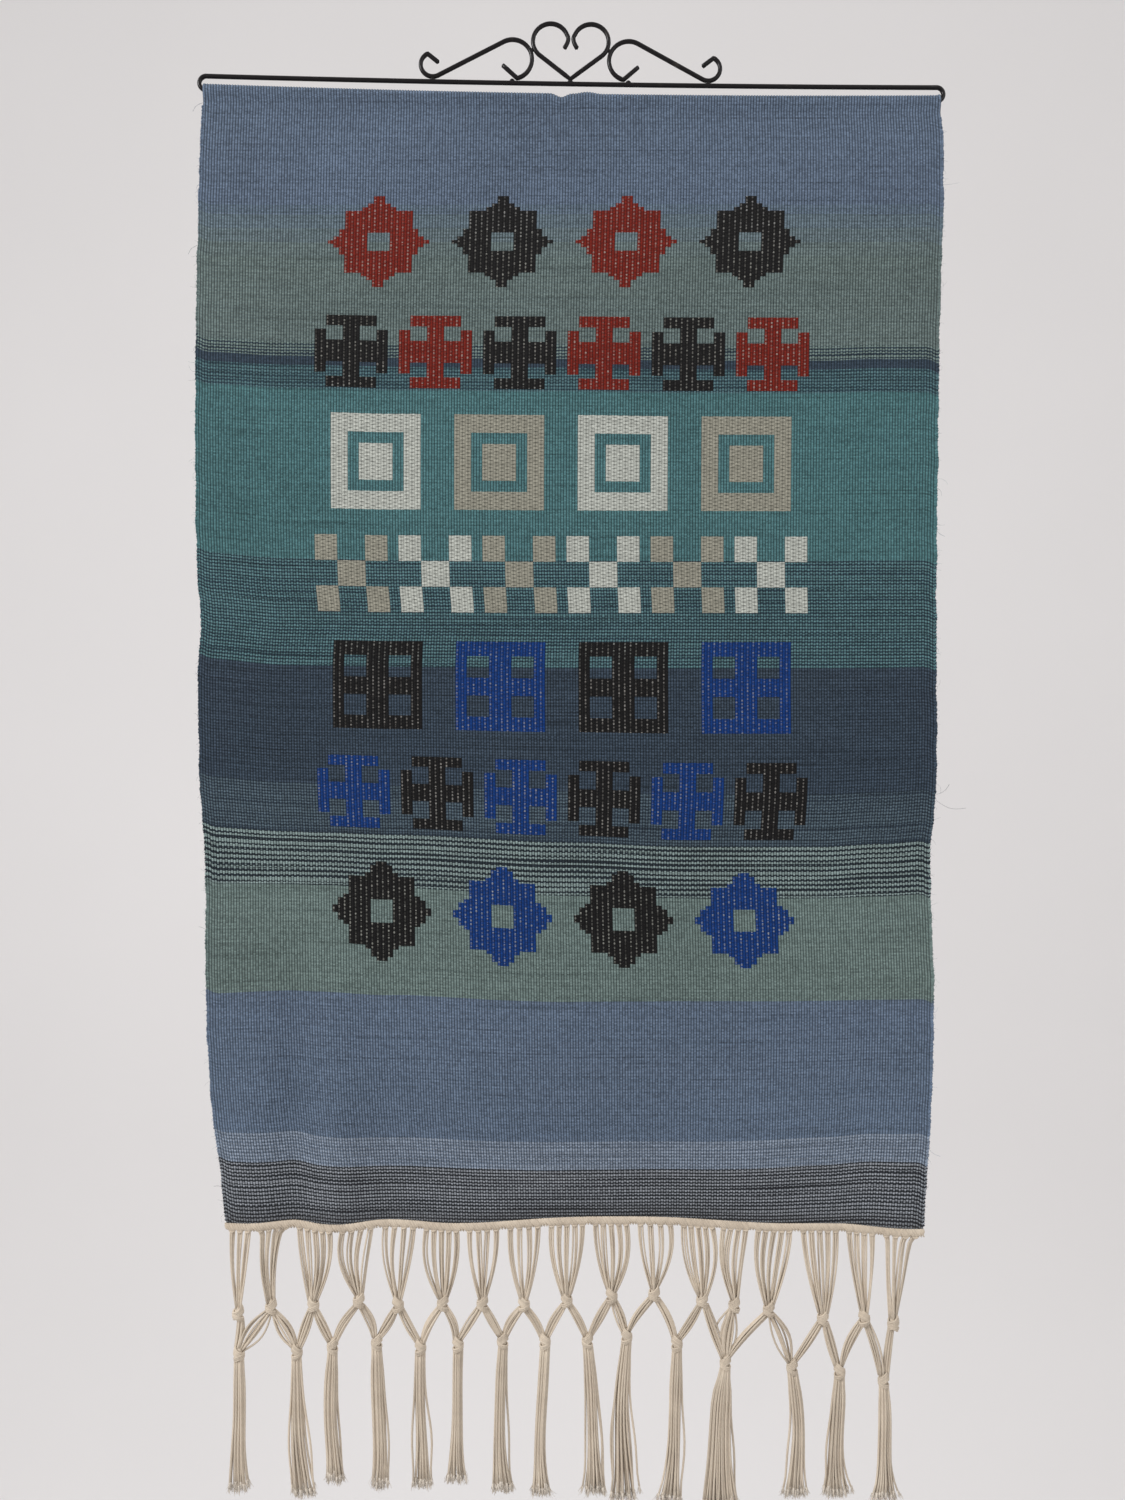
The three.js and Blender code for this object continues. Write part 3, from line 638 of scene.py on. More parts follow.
class Weave:
    """Where a place lies in the weave, in ribs across and picks down, and how uneven the wool
    is there: by streak along a pick, drift over a few picks, cloud in patches, fleck by bead.
    Each pick is a bead on every second rib, and at the selvedges the picks run at a slant."""

    def __init__(self, wool):
        across, down = wool.own_map("weave")
        self.rib = across * RIBS
        from_left = (1 - self.rib / EDGE_RIBS).most(0)
        from_right = (1 - (RIBS - self.rib) / EDGE_RIBS).most(0)
        slant = (from_left * from_left - from_right * from_right) * EDGE_SLIP
        self.depth = down * CLOTH_DEPTH + slant
        self.second = self.rib.odd()
        self.picks = self.depth / PICK
        self.crest = self.rib.arch()
        self.bead = (self.picks + self.second * 0.5).arch()
        pick = self.picks.floor()
        streaks = wool.place(across * STREAKS[0], pick * STREAKS[1], STREAKS[2])
        drifts = wool.place(across * DRIFTS[0], pick * DRIFTS[1], DRIFTS[2])
        clouds = wool.place(across * CLOUDS[0], down * CLOUDS[1], CLOUDS[2])
        self.streak = wool.noise(streaks, detail=2, roughness=0.6)
        self.drift = wool.noise(drifts, detail=1)
        self.cloud = wool.noise(clouds, detail=3)
        self.fleck = wool.chance(wool.place(self.rib.floor(), pick))


def banded_ground(wool, weave):
    """The cloth's bands. Picks lie in pairs, and the first of a pair shows its own colour on
    each rib inside an oval, where row^2 + side^2 stays under 1. Drift makes the ovals taller
    or lower, and all four kinds of unevenness shade the colour."""
    share = (weave.depth + weave.streak.about(BAND_EDGE)) / CLOTH_DEPTH
    first, other = (
        wool.bands(share, [(row[0] / CLOTH_DEPTH, linear(row[kind])) for row in BANDS])
        for kind in (1, 2)
    )
    tall = (weave.depth > TALL_PAIRS[0]) * (weave.depth < TALL_PAIRS[1])
    pairs = weave.picks * (0.5 - tall / 6)
    pair = (pairs + weave.second * PAIR["stagger"] + weave.streak.about(PAIR["waver"])).fract()
    row = pair / (PAIR["height"] - weave.drift.about(PAIR["drift"])) * 2 - 1
    side = weave.rib.fract() * 2 - 1
    oval = (row * row + side * side * PAIR["narrowing"]) < 1
    darker = ((weave.drift - SHADE["dark_from"]) * SHADE["dark_slope"]).held()
    tone = (
        SHADE["whole"] + weave.streak.about(SHADE["streak"]) + weave.cloud.about(SHADE["cloud"])
        + weave.fleck.about(SHADE["fleck"]) - darker * SHADE["dark"]
    )
    return wool.shaded(wool.mix(oval, other, first), tone)


def inlaid_figures(wool, weave, settings):
    """Rows of figures, each row in cells of whole steps. Gives where the inlay lies, where it
    is pale, and its colour. Cells take the row's two colours in turn."""
    step = (weave.rib * 0.5).floor() + MIDDLE
    step_depth = ((weave.depth / FLOAT_ROW).floor() + MIDDLE) * FLOAT_ROW
    step_width = CLOTH_WIDTH / RIBS * 2
    inlay, light, colour = None, None, None
    for middle, half, count, steps, form, *pair in FIGURES:
        cell = (step - (RIBS / 4 + FIELD_SHIFT - count * steps / 2)) / steps
        x = ((cell.fract() - MIDDLE) * (steps * step_width)).size()
        y = (step_depth - round(middle / FLOAT_ROW * 2) / 2 * FLOAT_ROW).size()
        mask = figure_mask(form, x, y, half) * ((cell > 0) * (cell < count))
        pale = [float(name in PALE_WOOLS) for name in pair]
        row_light = cell.odd() * (pale[1] - pale[0]) + pale[0]
        row_colour = wool.mix(cell.odd(), *(tuple(getattr(settings, name)) for name in pair))
        if inlay is None:
            inlay, light, colour = mask, row_light, row_colour
        else:
            inlay = inlay.most(mask)
            light = light + (row_light - light) * mask
            colour = wool.mix(mask, colour, row_colour)
    return inlay, light, colour


def inlaid_threads(wool, weave, settings, ground, colour, light):
    """The inlay's threads lie over two ribs in turn, like bricks. The gaps between them are
    dark ovals of painted shade. On dark figures some of the ties between them catch the light.
    Also gives the square of the place across a row, for the relief."""
    column = weave.rib * 0.5
    rows = weave.depth / FLOAT_ROW + column.odd() * 0.5
    x = (column.fract() - MIDDLE) * 2
    y = (rows.fract() - MIDDLE) * 2
    # Painted shade: a dark oval in the gap between threads, stronger on pale figures
    oval = 1 - (x * x * FLOAT["gap_width"] + y * y * FLOAT["gap_height"])
    gap = oval.held() * (FLOAT["gap"] + light * (1 - FLOAT["gap"]))
    tie_x = (column.fract() - FLOAT["tie_place"]) / FLOAT["tie_width"]
    tie_y = (rows.fract() - MIDDLE) / FLOAT["tie_height"]
    tie = (tie_x * tie_x + tie_y * tie_y) < 1
    caught = (weave.fleck * weave.fleck * 0.9 + 0.08) * (0.4 + weave.cloud)
    glint = tie * (1 - light) * caught * settings.glint
    shade = SHADE["thread"] + weave.streak.about(0.4) + weave.fleck * 0.34
    thread = wool.shaded(colour, shade)
    # Painted shade in the gaps between the inlay's threads
    thread = wool.mix(gap * 0.8, thread, wool.shaded(colour, SHADE["gap"]))
    thread = wool.mix(glint, thread, wool.mix(0.55, ground, linear(TIE_COLOUR)))
    return thread, y * y


def wool_finish(settings):
    """Weft-faced plain weave: round ribs over the warp, bands of one or two colours of picks,
    and inlaid figures in steps of two ribs. Grooves between ribs and beads are painted darker
    as shade and their crests painted lighter, less so under the inlay's longer threads."""
    wool = Finish("wool")
    weave = Weave(wool)
    ground = banded_ground(wool, weave)
    inlay, light, colour = inlaid_figures(wool, weave, settings)
    thread, off_middle = inlaid_threads(wool, weave, settings, ground, colour, light)
    # Painted shade: the colour is darkened in the grooves between ribs and between beads and lightened
    # on their crests
    painted_bead_light = (weave.bead - ARCH_MEAN) * PAINTED_RIB_SHADE["bead"]
    painted_rib_shade = PAINTED_RIB_SHADE["groove"] + weave.crest * PAINTED_RIB_SHADE["crest"] + painted_bead_light
    level = painted_rib_shade + (PAINTED_RIB_SHADE["inlay"] - painted_rib_shade) * inlay * (0.3 + light * 0.4)
    relief = weave.crest * 0.7 + weave.bead * 0.2 + inlay * (0.2 - off_middle * 0.2)
    fibres = wool.noise(
        wool.place(weave.rib * 1.3, weave.depth * 3.1), detail=3, roughness=0.7
    )
    return wool.surface(
        Base_Color=wool.shaded(wool.mix(inlay, ground, thread), level),
        Roughness=0.9 - weave.fleck * 0.06,
        Normal=wool.bumped(relief + fibres * 0.35, WEAVE_RELIEF, 0.8),
        Sheen_Weight=0.1,
        Sheen_Roughness=0.5,
        Specular_IOR_Level=0.15,
    )


def cotton_finish(settings):
    """Two-ply cotton: slanting plies from the map, with painted shade in the grooves between
    them, a tint for each thread and a little soil. A tint over 1 is a frayed end, paler the
    further over."""
    cotton = Finish("cotton")
    around, along = cotton.own_map("thread")
    tint = cotton.own_value("tint")
    ply = (around * 2 + along / settings.ply).arch()
    soil = cotton.noise(scale=55, detail=3)
    lint = cotton.noise(scale=900, detail=2)
    # The ply term paints shade in the grooves between the plies
    level = (
        0.86 + tint.least(1) * 0.2 + (ply - ARCH_MEAN) * 0.09
        + soil.about(0.24) + lint.about(0.16)
    )
    clean = cotton.mix(soil, tuple(settings.cotton_shade), tuple(settings.cotton))
    frayed = (tint - 1).held() * 0.8
    return cotton.surface(
        Base_Color=cotton.mix(frayed, cotton.shaded(clean, level), tuple(settings.frayed)),
        Roughness=0.88 - tint.least(1) * 0.08,
        Normal=cotton.bumped(ply * 0.5 + lint * 0.5, PLY_RELIEF, 0.6),
        Sheen_Weight=0.1,
        Specular_IOR_Level=0.25,
    )


def lacquer_finish(settings):
    """Black stove lacquer on drawn wire: faint drips and rubbed spots."""
    lacquer = Finish("lacquer")
    broad = lacquer.noise(scale=60, detail=2)
    fine = lacquer.noise(scale=700, detail=3)
    rubbed = ((broad - 0.62) * 9).held() * fine
    return lacquer.surface(
        Base_Color=lacquer.mix(rubbed * 0.5, tuple(settings.lacquer), linear(RUBBED_COLOUR)),
        Roughness=0.22 + broad * 0.14 + rubbed * 0.25,
        Normal=lacquer.bumped(fine * 0.6 + broad, LACQUER_RELIEF, 0.3),
        Specular_IOR_Level=0.22,
    )


def paint_finish(colour):
    """Matt paint with a trace of unevenness."""
    paint = Finish("pale_paint")
    cloud = paint.noise(scale=1.5, detail=3)
    return paint.surface(Base_Color=paint.shaded(colour, 0.98 + cloud * 0.04), Roughness=0.9)


# Hanger


def sag_at(x, depth):
    """A shallow parabola: depth * (1 - share^2) between the end bends."""
    share = (2 * x - BAR["left"] - BAR["right"]) / (BAR["right"] - BAR["left"])
    return depth * (1 - share * share)


def ray(degrees):
    """A step of one to the side that an angle points to."""
    angle = np.radians(degrees)
    return np.stack([np.cos(angle), np.sin(angle)], -1)


def arc(centre, radius, start, end):
    """Points from one angle to the other in degrees, ends included, at even steps."""
    steps = max(3, int(abs(end - start) / WIRE_STEP))
    return np.asarray(centre) + radius * ray(np.linspace(start, end, steps + 1))


def straight(start, end, steps):
    return mixed(np.array(start), np.array(end), np.linspace(0, 1, steps + 1)[:, None])


def tilted(flat):
    """Places in the hanger's plane, turned by the hanger's tilt."""
    x, z = np.asarray(flat, float).T
    cosine, sine = math.cos(TILT), math.sin(TILT)
    return coordinates(x * cosine + z * sine, 0.0, z * cosine - x * sine)


def wire(path):
    """Round wire along a flat path, from which points that fall together are left out."""
    path = np.asarray(path, float)
    apart = np.linalg.norm(np.diff(path, axis=0), axis=-1) > SAME_POINT
    return tubes(tilted(path[np.concatenate([[True], apart])])[None], WIRE / 2, WIRE_SIDES)


def bar_path():
    """From the left arm's end out to its bend, back along the bar, and in along the right
    arm. The straight parts sag."""
    bend = ARM["drop"] / 2
    left, right = BAR["left"] + bend, BAR["right"] - bend
    lower = BAR["height"] - ARM["drop"]
    arm_left = np.linspace(ARM["left_end"], left, 40)
    arm_right = np.linspace(right, ARM["right_end"], 40)
    bar = np.linspace(left, right, 80)
    return np.concatenate([
        coordinates(arm_left, lower - sag_at(arm_left, ARM["sag"])),
        arc((left, BAR["height"] - bend), bend, -90, -270),
        coordinates(bar, BAR["height"] - sag_at(bar, BAR["sag"])),
        arc((right, BAR["height"] - bend), bend, 90, -90),
        coordinates(arm_right, lower - sag_at(arm_right, ARM["sag"])),
    ])


def resting_height(x):
    """Height of the middle of a wire that rests on the bar."""
    return BAR["height"] - sag_at(x, BAR["sag"]) + WIRE + GAP


def heart_path():
    """Half a heart from its foot: a straight flank that touches the lobe's arc, the arc, and
    a quadratic curve out to the tip. The other half is its mirror."""
    foot = np.array([0.0, resting_height(0.0)])
    centre = np.array([HEART["offset"], HEART["height"]])
    reach = centre - foot
    span = np.linalg.norm(reach)
    flank = math.degrees(math.atan2(reach[1], reach[0]) - math.asin(HEART["radius"] / span)) - 90
    lobe = arc(centre, HEART["radius"], flank, HEART["neck"])
    pull, end = np.array(HEART_TIP["pull"]), np.array(HEART_TIP["end"])
    t = np.linspace(0, 1, 14)[:, None]
    tip = (1 - t) ** 2 * lobe[-1] + 2 * t * (1 - t) * pull + t * t * end
    half = np.concatenate([straight(foot, lobe[0], 6), lobe, tip])
    return np.concatenate([(half * (-1, 1))[::-1], half])


def scroll_centre():
    """Middle of the right scroll's large arc, which rests against the heart's lobe. Also the
    way between the two middles."""
    between = HEART["radius"] + SCROLL["radius"] + WIRE + GAP
    drop = HEART["height"] - SCROLL["height"]
    return HEART["offset"] + math.sqrt(between**2 - drop**2), between


def scroll_path(side):
    """An S of two arcs and the straight line that touches both, with a short tail."""
    centre = np.array([-scroll_centre()[0], SCROLL["height"]])
    hook = np.array([HOOK["x"], HOOK["height"]])
    between = centre - hook
    crossing = math.asin((SCROLL["radius"] + HOOK["radius"]) / np.linalg.norm(between))
    rise = math.degrees(math.atan2(between[1], between[0]) + crossing)
    small = arc(hook, HOOK["radius"], HOOK["start"], rise + 270)
    large = arc(centre, SCROLL["radius"], rise + 90, SCROLL["end"])
    free = small[0] + ray(HOOK["tail_angle"]) * HOOK["tail"]
    tail = large[-1] + ray(SCROLL["tail_angle"]) * SCROLL["tail"]
    path = np.concatenate([
        straight(free, small[0], 4), small, straight(small[-1], large[0], 10), large,
        straight(large[-1], tail, 5),
    ])
    return path if side < 0 else path * (-1, 1)


def weld_beads():
    """Small beads of weld: balls flattened towards the front, at each place of contact."""
    to_joint = (WIRE + GAP) / 2
    centre_x, between = scroll_centre()
    share = (HEART["radius"] + to_joint) / between
    beside = (
        mixed(HEART["offset"], centre_x, share), mixed(HEART["height"], SCROLL["height"], share)
    )
    feet = [(x, resting_height(x) - to_joint) for x in (centre_x, -HOOK["x"])]
    places = [(0.0, resting_height(0.0) - to_joint)]
    places += [(side * x, z) for side in (-1, 1) for x, z in (beside, *feet)]
    t = np.linspace(0.06, 0.94, 9)
    along = np.cos(math.pi * t) * WELD["reach"]
    paths = tilted(places)[:, None] + along[None, :, None] * np.array([1.0, 0.0, 0.0])
    return tubes(paths, hump(t)[None] * WELD["radius"], WELD["sides"])


# Cloth


def arm_centre(x):
    """Height of the arms' centre line after the tilt; past them, the inside of the bends."""
    level = BAR["height"] - ARM["drop"]
    bend = ARM["drop"] / 2
    along = x - level * math.sin(TILT)
    past = np.maximum(np.maximum(BAR["left"] + bend - along, along - BAR["right"] + bend), 0)
    inside = bend - WIRE / 2 - GAP
    rise = inside - np.sqrt(np.maximum(inside**2 - past**2, 0))
    return (level - sag_at(along, ARM["sag"]) + rise) * math.cos(TILT) - along * math.sin(TILT)


def fold_depth(x, height):
    """Sum of the folds: each a bell across, eased in from its top and out to its bottom."""
    total = np.zeros(np.broadcast(x, height).shape)
    for middle, lean, top, peak, bottom, width, rise in FOLDS:
        start = eased((top - height) / (top - peak))
        fade = 1 - eased((peak - height) / (peak - bottom))
        line = middle + lean * (top - height) / (top - bottom)
        total = total + rise * start * fade * np.exp(-(((x - line) / width) ** 2))
    return total


def slack_depth(x, height):
    """Slow unevenness of cloth that isn't stretched, which grows over the first stretch
    below the sleeve: the product of two waves that run at a slant to each other."""
    down = np.clip((-height - SLACK["from"]) / SLACK["over"], 0, 1)
    steep = wander(x / 31 + height / 83, 1.3)
    flat = wander(height / 47 - x / 120, 0.4)
    return SLACK["depth"] * down * steep * flat


def top_ripple(x):
    """Small humps of the top fold: rise * sin^2(pi t) over each one's stretch."""
    return sum(
        rise * hump(np.clip((x - start) / (end - start), 0, 1)) ** 2
        for start, end, rise in TOP_RIPPLES
    )


def selvedge_point(share, height):
    """x at a share of the width between the two selvedges."""
    left = on_table(SELVEDGES[:, 0], SELVEDGES[:, 1], height)
    right = on_table(SELVEDGES[:, 0], SELVEDGES[:, 2], height)
    return mixed(left, right, share)


def hanging_point(x, height):
    return coordinates(x, -LAYER - fold_depth(x, height), height)


def hem_point(share):
    near_x = selvedge_point(share, np.full_like(share, HEM[0, 1]))
    height = on_table(HEM[:, 0], HEM[:, 1], near_x)
    return hanging_point(selvedge_point(share, height), height)


def sleeve_section():
    """(towards the back, above the arm's centre) from the flap's lower edge behind, up, over
    the arm in a half circle and down to the seam in front."""
    loop = WIRE / 2 + GAP + THICKNESS / 2
    flap = np.linspace(-SLEEVE["flap"], -SLEEVE["seam"], 4)[:-1]
    t = np.linspace(0, 1, 5)
    rise = coordinates(mixed(LAYER, loop, eased(t)), mixed(-SLEEVE["seam"], 0, t))
    over = loop * ray(np.linspace(0, 180, 13)[1:-1])
    return np.concatenate([coordinates(LAYER, flap), rise, over, (rise * (-1, 1))[::-1]])


def weft_bow(x, depth):
    """How far the weft line at a depth lies above level: the table, read smoothly down and
    in straight lines across."""
    columns = range(1, len(BOW_PLACES) + 1)
    across = np.stack([on_table(BOW[:, 0], BOW[:, column], depth) for column in columns], -1)
    place = np.clip(np.searchsorted(BOW_PLACES, x, side="right") - 1, 0, len(BOW_PLACES) - 2)
    t = eased((x - BOW_PLACES[place]) / (BOW_PLACES[place + 1] - BOW_PLACES[place]))
    low = np.take_along_axis(across, place[..., None], -1)[..., 0]
    high = np.take_along_axis(across, place[..., None] + 1, -1)[..., 0]
    return mixed(low, high, t)


def cloth_middle(share, rows):
    """The middle of the cloth: columns at shares of its width, each down the sleeve's section
    and then in even steps from the seam to the hem. Near a selvedge a small wave pulls the
    columns in and out. Also the depth on the weave map, where the table of the weft lines is
    read at its own result until it settles."""
    top_x = mixed(SELVEDGES[0, 1], SELVEDGES[0, 2], share)
    arm = arm_centre(top_x)
    section = sleeve_section()
    lift = top_ripple(top_x)[:, None] * eased((section[:, 1] + SLEEVE["seam"]) / SLEEVE["seam"])
    sleeve = coordinates(
        top_x[:, None], section[None, :, 0], arm[:, None] + section[None, :, 1] + lift
    )
    start = (arm - SLEEVE["seam"])[:, None]
    height = mixed(start, hem_point(share)[:, 2][:, None], (np.arange(rows) + 1) / rows)
    x = selvedge_point(share[:, None], height)
    below = eased((start - height) / SLEEVE["flap"])
    edge = np.abs(share - MIDDLE)[:, None] * 2
    wave = wander(height / SCALLOP["length"] + 9 * (share[:, None] > MIDDLE), 0.7)
    scallop = SCALLOP["depth"] * wave * edge ** SCALLOP["power"] * below
    hanging = hanging_point(mixed(top_x[:, None], x, below) + scallop, height)
    hanging[..., 1] -= slack_depth(hanging[..., 0], height)
    nominal = -hanging[..., 2]
    for _ in range(3):
        nominal = -hanging[..., 2] + weft_bow(hanging[..., 0], nominal)
    run = np.concatenate([[0], np.cumsum(np.linalg.norm(np.diff(section, axis=0), axis=-1))])
    depth = np.concatenate([-start - (run[-1] - run)[None, :], nominal], axis=1)
    return np.concatenate([sleeve, hanging], axis=1), depth


def cloth_surface(settings):
    """The middle moved half a thickness out and in along its normal, plus the ribs' rise, and
    closed along its four edges."""
    columns = 2 * RIBS + 1
    share = np.linspace(0, 1, columns)
    points, depth = cloth_middle(share, CLOTH_ROWS)
    normal = unit(np.cross(np.gradient(points, axis=0), np.gradient(points, axis=1)))
    rib = np.where(np.arange(columns) % 2, 0.5, -0.5)[:, None] * settings.rib_rise / MM
    rib = rib * (1 + RIB_WANDER * wander(points[..., 0] / 6, 0.2))
    out = normal * (THICKNESS / 2 + rib)[..., None]
    count, rows = depth.shape
    grid = np.arange(count * rows).reshape(count, rows)
    weave = coordinates(share[:, None], depth / CLOTH_DEPTH).reshape(-1, 2)
    a, b, c, d = grid[:-1, :-1], grid[:-1, 1:], grid[1:, 1:], grid[1:, :-1]
    behind = count * rows
    faces = [
        (a, b, c, d),
        (a + behind, d + behind, c + behind, b + behind),
        (a[:, 0], d[:, 0], d[:, 0] + behind, a[:, 0] + behind),
        (c[:, -1], b[:, -1], b[:, -1] + behind, c[:, -1] + behind),
        (b[0], a[0], a[0] + behind, b[0] + behind),
        (d[-1], c[-1], c[-1] + behind, d[-1] + behind),
    ]
    quads = np.concatenate([np.stack(corners, -1).reshape(-1, 4) for corners in faces])
    flat_from = 2 * (count - 1) * (rows - 1)
    sides = np.concatenate([(points - out).reshape(-1, 3), (points + out).reshape(-1, 3)])
    return Surface(sides, quads, np.concatenate([weave, weave])[quads]), flat_from


def selvedge_line(side, rows):
    """Points down one selvedge below the sleeve, and their depths on the weave map."""
    share = 0.0 if side < 0 else 1.0
    points, depth = cloth_middle(np.array([share, abs(share - 0.002)]), rows)
    sleeve = len(sleeve_section())
    return points[0, sleeve:], depth[0, sleeve:]


def on_line(at, depth, line):
    """The line's points at some depths."""
    return coordinates(*(np.interp(at, depth, line[:, axis]) for axis in range(3)))


def edge_rib(side):
    """Place across the weave map of the middle of the first or last rib."""
    return np.where(np.asarray(side) < 0, 0.5, RIBS - 0.5) / RIBS


def selvedge_turns():
    """The weft's turns round both selvedges: half rings from the front face to the back, one
    for every pick, each with its own pick's place on the weave map."""
    surfaces = []
    angle = np.linspace(-0.5, 0.5, 6) * math.pi
    for side in (-1, 1):
        line, depth = selvedge_line(side, 400)
        picks = (np.arange(int(depth[0] / PICK) + 2, int(depth[-1] / PICK) - 1) + 0.5) * PICK
        centre = on_line(picks, depth, line)
        rng = np.random.default_rng(11 + side)
        bulge = rng.uniform(0.5, 1.1, len(picks))[:, None]
        lean = rng.normal(0.25, 0.3, len(picks))[:, None]
        paths = coordinates(
            centre[:, :1] + side * (np.cos(angle) * bulge - TURNS["inset"]),
            centre[:, 1:2] - np.sin(angle) * THICKNESS / 2,
            centre[:, 2:] + np.sin(angle) * lean,
        )
        where = coordinates(edge_rib(side), picks / CLOTH_DEPTH)
        surfaces.append(tubes(paths, TURNS["radius"], 5, reference=UP, map_at=where))
    return joined(surfaces)


def selvedge_fuzz():
    """Loose wool hairs along the selvedges. A short one is a straight line whose direction
    turns along it; a long one bows by sin(pi t) between its two ends."""
    surfaces = []
    rng = np.random.default_rng(5)
    count = HAIR["count"]
    t = np.linspace(0, 1, 5)
    for side in (-1, 1):
        line, depth = selvedge_line(side, 200)
        at = rng.uniform(depth[2], depth[-2], count)
        root = on_line(at, depth, line)
        root[:, 1] += rng.uniform(-0.8, 0.8, count)
        length = rng.gamma(3.0, HAIR["length"], count)[:, None]
        angle = rng.normal(0, 0.75, count)[:, None]
        curl = rng.normal(0, 0.9, count)[:, None]
        lean = rng.normal(0, 0.35, count)[:, None]
        turn = angle + curl * t
        reach = coordinates(
            side * length * t * np.cos(turn), lean * length * t**2, length * t * np.sin(turn)
        )
        where = coordinates(edge_rib(side), at / CLOTH_DEPTH)
        radii = HAIR["radius"] * (1 - 0.5 * t)[None]
        surfaces.append(tubes(root[:, None] + reach, radii, 3, map_at=where))
    t = np.linspace(0, 1, 8)[None, :, None]
    root, tip = LONG_HAIRS[:, None, :2], LONG_HAIRS[:, None, 2:]
    bow = hump(t) * (tip - root)[..., ::-1] * (HAIR["bow"], -HAIR["bow"])
    flat = mixed(root, tip, t) + bow
    paths = coordinates(flat[..., 0], -LAYER - 2 * t[..., 0], flat[..., 1])
    where = coordinates(edge_rib(LONG_HAIRS[:, 0]), -LONG_HAIRS[:, 1] / CLOTH_DEPTH)
    surfaces.append(tubes(paths, HAIR["long_radius"], 3, map_at=where))
    return joined(surfaces)


def sleeve_stitches():
    """Slanting hand stitches that hold the flap's lower edge down behind: each comes out of
    the flap, swells by sin(pi t) and dives into the cloth below its edge."""
    count = STITCH["count"]
    share = (np.arange(count) + 0.5) / count
    x = mixed(SELVEDGES[0, 1], SELVEDGES[0, 2], share)
    edge = arm_centre(x) - SLEEVE["flap"]
    rng = np.random.default_rng(3)
    slant = rng.normal(2.2, 0.35, count)
    t = np.linspace(0, 1, 7)
    dive = STITCH["dive"] * eased((t - 0.45) / 0.35)
    paths = coordinates(
        x[:, None] + slant[:, None] * (t - 0.5),
        LAYER + STITCH["out"] + STITCH["swell"] * hump(t) - dive,
        edge[:, None] + STITCH["above"] - STITCH["length"] * t,
    )
    return tubes(paths, STITCH["radius"], 5, map_at=coordinates(share, STITCH["map"]))


# Fringe


def knot_rows():
    """Middles of the knots in the upper and in the lower row."""
    upper = coordinates(UPPER_KNOTS[:, 0], KNOT_Y, UPPER_KNOTS[:, 1])
    lower = np.array([(x, KNOT_Y, height) for x, height, *_ in LOWER_KNOTS])
    return upper, lower


def thread_radius(settings):
    return settings.thread / MM / 2


def strand_roots():
    """Where each strand leaves the heading, its place among its knot's strands and the knot."""
    x = UPPER_KNOTS[:, 0]
    ends = np.concatenate([[2 * HEM[0, 0] - x[0]], x, [2 * HEM[-1, 0] - x[-1]]])
    edges = (ends[1:] + ends[:-1]) / 2
    shares = (edges - HEM[0, 0]) / (HEM[-1, 0] - HEM[0, 0])
    counts = UPPER_KNOTS[:, 2].astype(int)
    knot = np.repeat(np.arange(len(x)), counts)
    place = np.concatenate([(np.arange(n) + 0.5) / n for n in counts])
    drawn_in = 0.5 + (place - 0.5) * GROUP_WIDTH
    share = mixed(shares[knot], shares[knot + 1], drawn_in)
    return hem_point(share), place, knot


def heading_rope(roots):
    """A flat rope along the hem: an oval section carried along it, rounded at both ends, its
    lower edge drawn up in arches between the strands."""
    steps, sides = HEADING["steps"], HEADING["sides"]
    past = HEADING["past"]
    share = np.linspace(-past, 1 + past, steps)
    hem = hem_point(np.clip(share, 0, 1))
    hem[:, 0] += (share - np.clip(share, 0, 1)) * HEADING["width"]
    away = np.abs(hem[:, None, 0] - roots[None, :, 0]).min(axis=1)
    height = HEADING["height"] + 0.8 - ARCH["rise"] * eased((away - ARCH["from"]) / ARCH["over"])
    end = np.clip(np.minimum(share + past, 1 + past - share) / HEADING["rounding"], 0, 1)
    full = np.sqrt(np.clip(1 - (1 - end) ** 2, 0.02, 1))
    angle = np.arange(sides) / sides * TURN
    points = coordinates(
        hem[:, :1],
        hem[:, 1:2] + np.cos(angle) * HEADING["depth"] / 2 * full[:, None],
        (hem[:, 2] + 0.5 - height / 2)[:, None] + np.sin(angle) * (height * full)[:, None] / 2,
    )
    grid = np.arange(steps * sides).reshape(steps, sides)
    following = np.roll(grid, -1, axis=1)
    quads = np.stack([grid[:-1], following[:-1], following[1:], grid[1:]], -1)
    along = hem[:, :1] * MM
    left = np.arange(sides) / sides
    right = left + 1 / sides
    here, there = along[:-1], along[1:]
    quad_map = coordinates(left, here, right, here, right, there, left, there)
    side = np.arange(sides)
    after = (side + 1) % sides
    first_pole, last = steps * sides, (steps - 1) * sides
    tris = np.concatenate([
        coordinates(first_pole, after, side),
        coordinates(first_pole + 1, last + side, last + after),
    ])
    points = np.concatenate([points.reshape(-1, 3), [points[0].mean(0), points[-1].mean(0)]])
    return Surface(points, quads, quad_map, tris, np.zeros((len(tris) * 3, 2)))


def heading_turns(settings, rng):
    """Slanting turns of thread laid round the front of the rope, from its top to its foot."""
    count = HEADING["turns"]
    hem = hem_point((np.arange(count) + 0.5) / count)
    t = np.linspace(0, 1, 8)
    turn = (0.16 + 0.68 * t) * math.pi
    wide = rng.normal(3.4, 0.3, count)[:, None]
    reach = rng.uniform(0.94, 1.05, count)[:, None]
    middle = hem[:, 2:] + 0.3 - HEADING["height"] / 2
    paths = coordinates(
        hem[:, :1] + wide * (t - 0.5),
        hem[:, 1:2] - np.sin(turn) * (HEADING["depth"] / 2 - 0.15) * reach,
        middle + np.cos(turn) * (HEADING["height"] / 2 - 0.2),
    )
    return tubes(paths, thread_radius(settings) * 0.7, 5, tint=rng.uniform(0, 1, count))


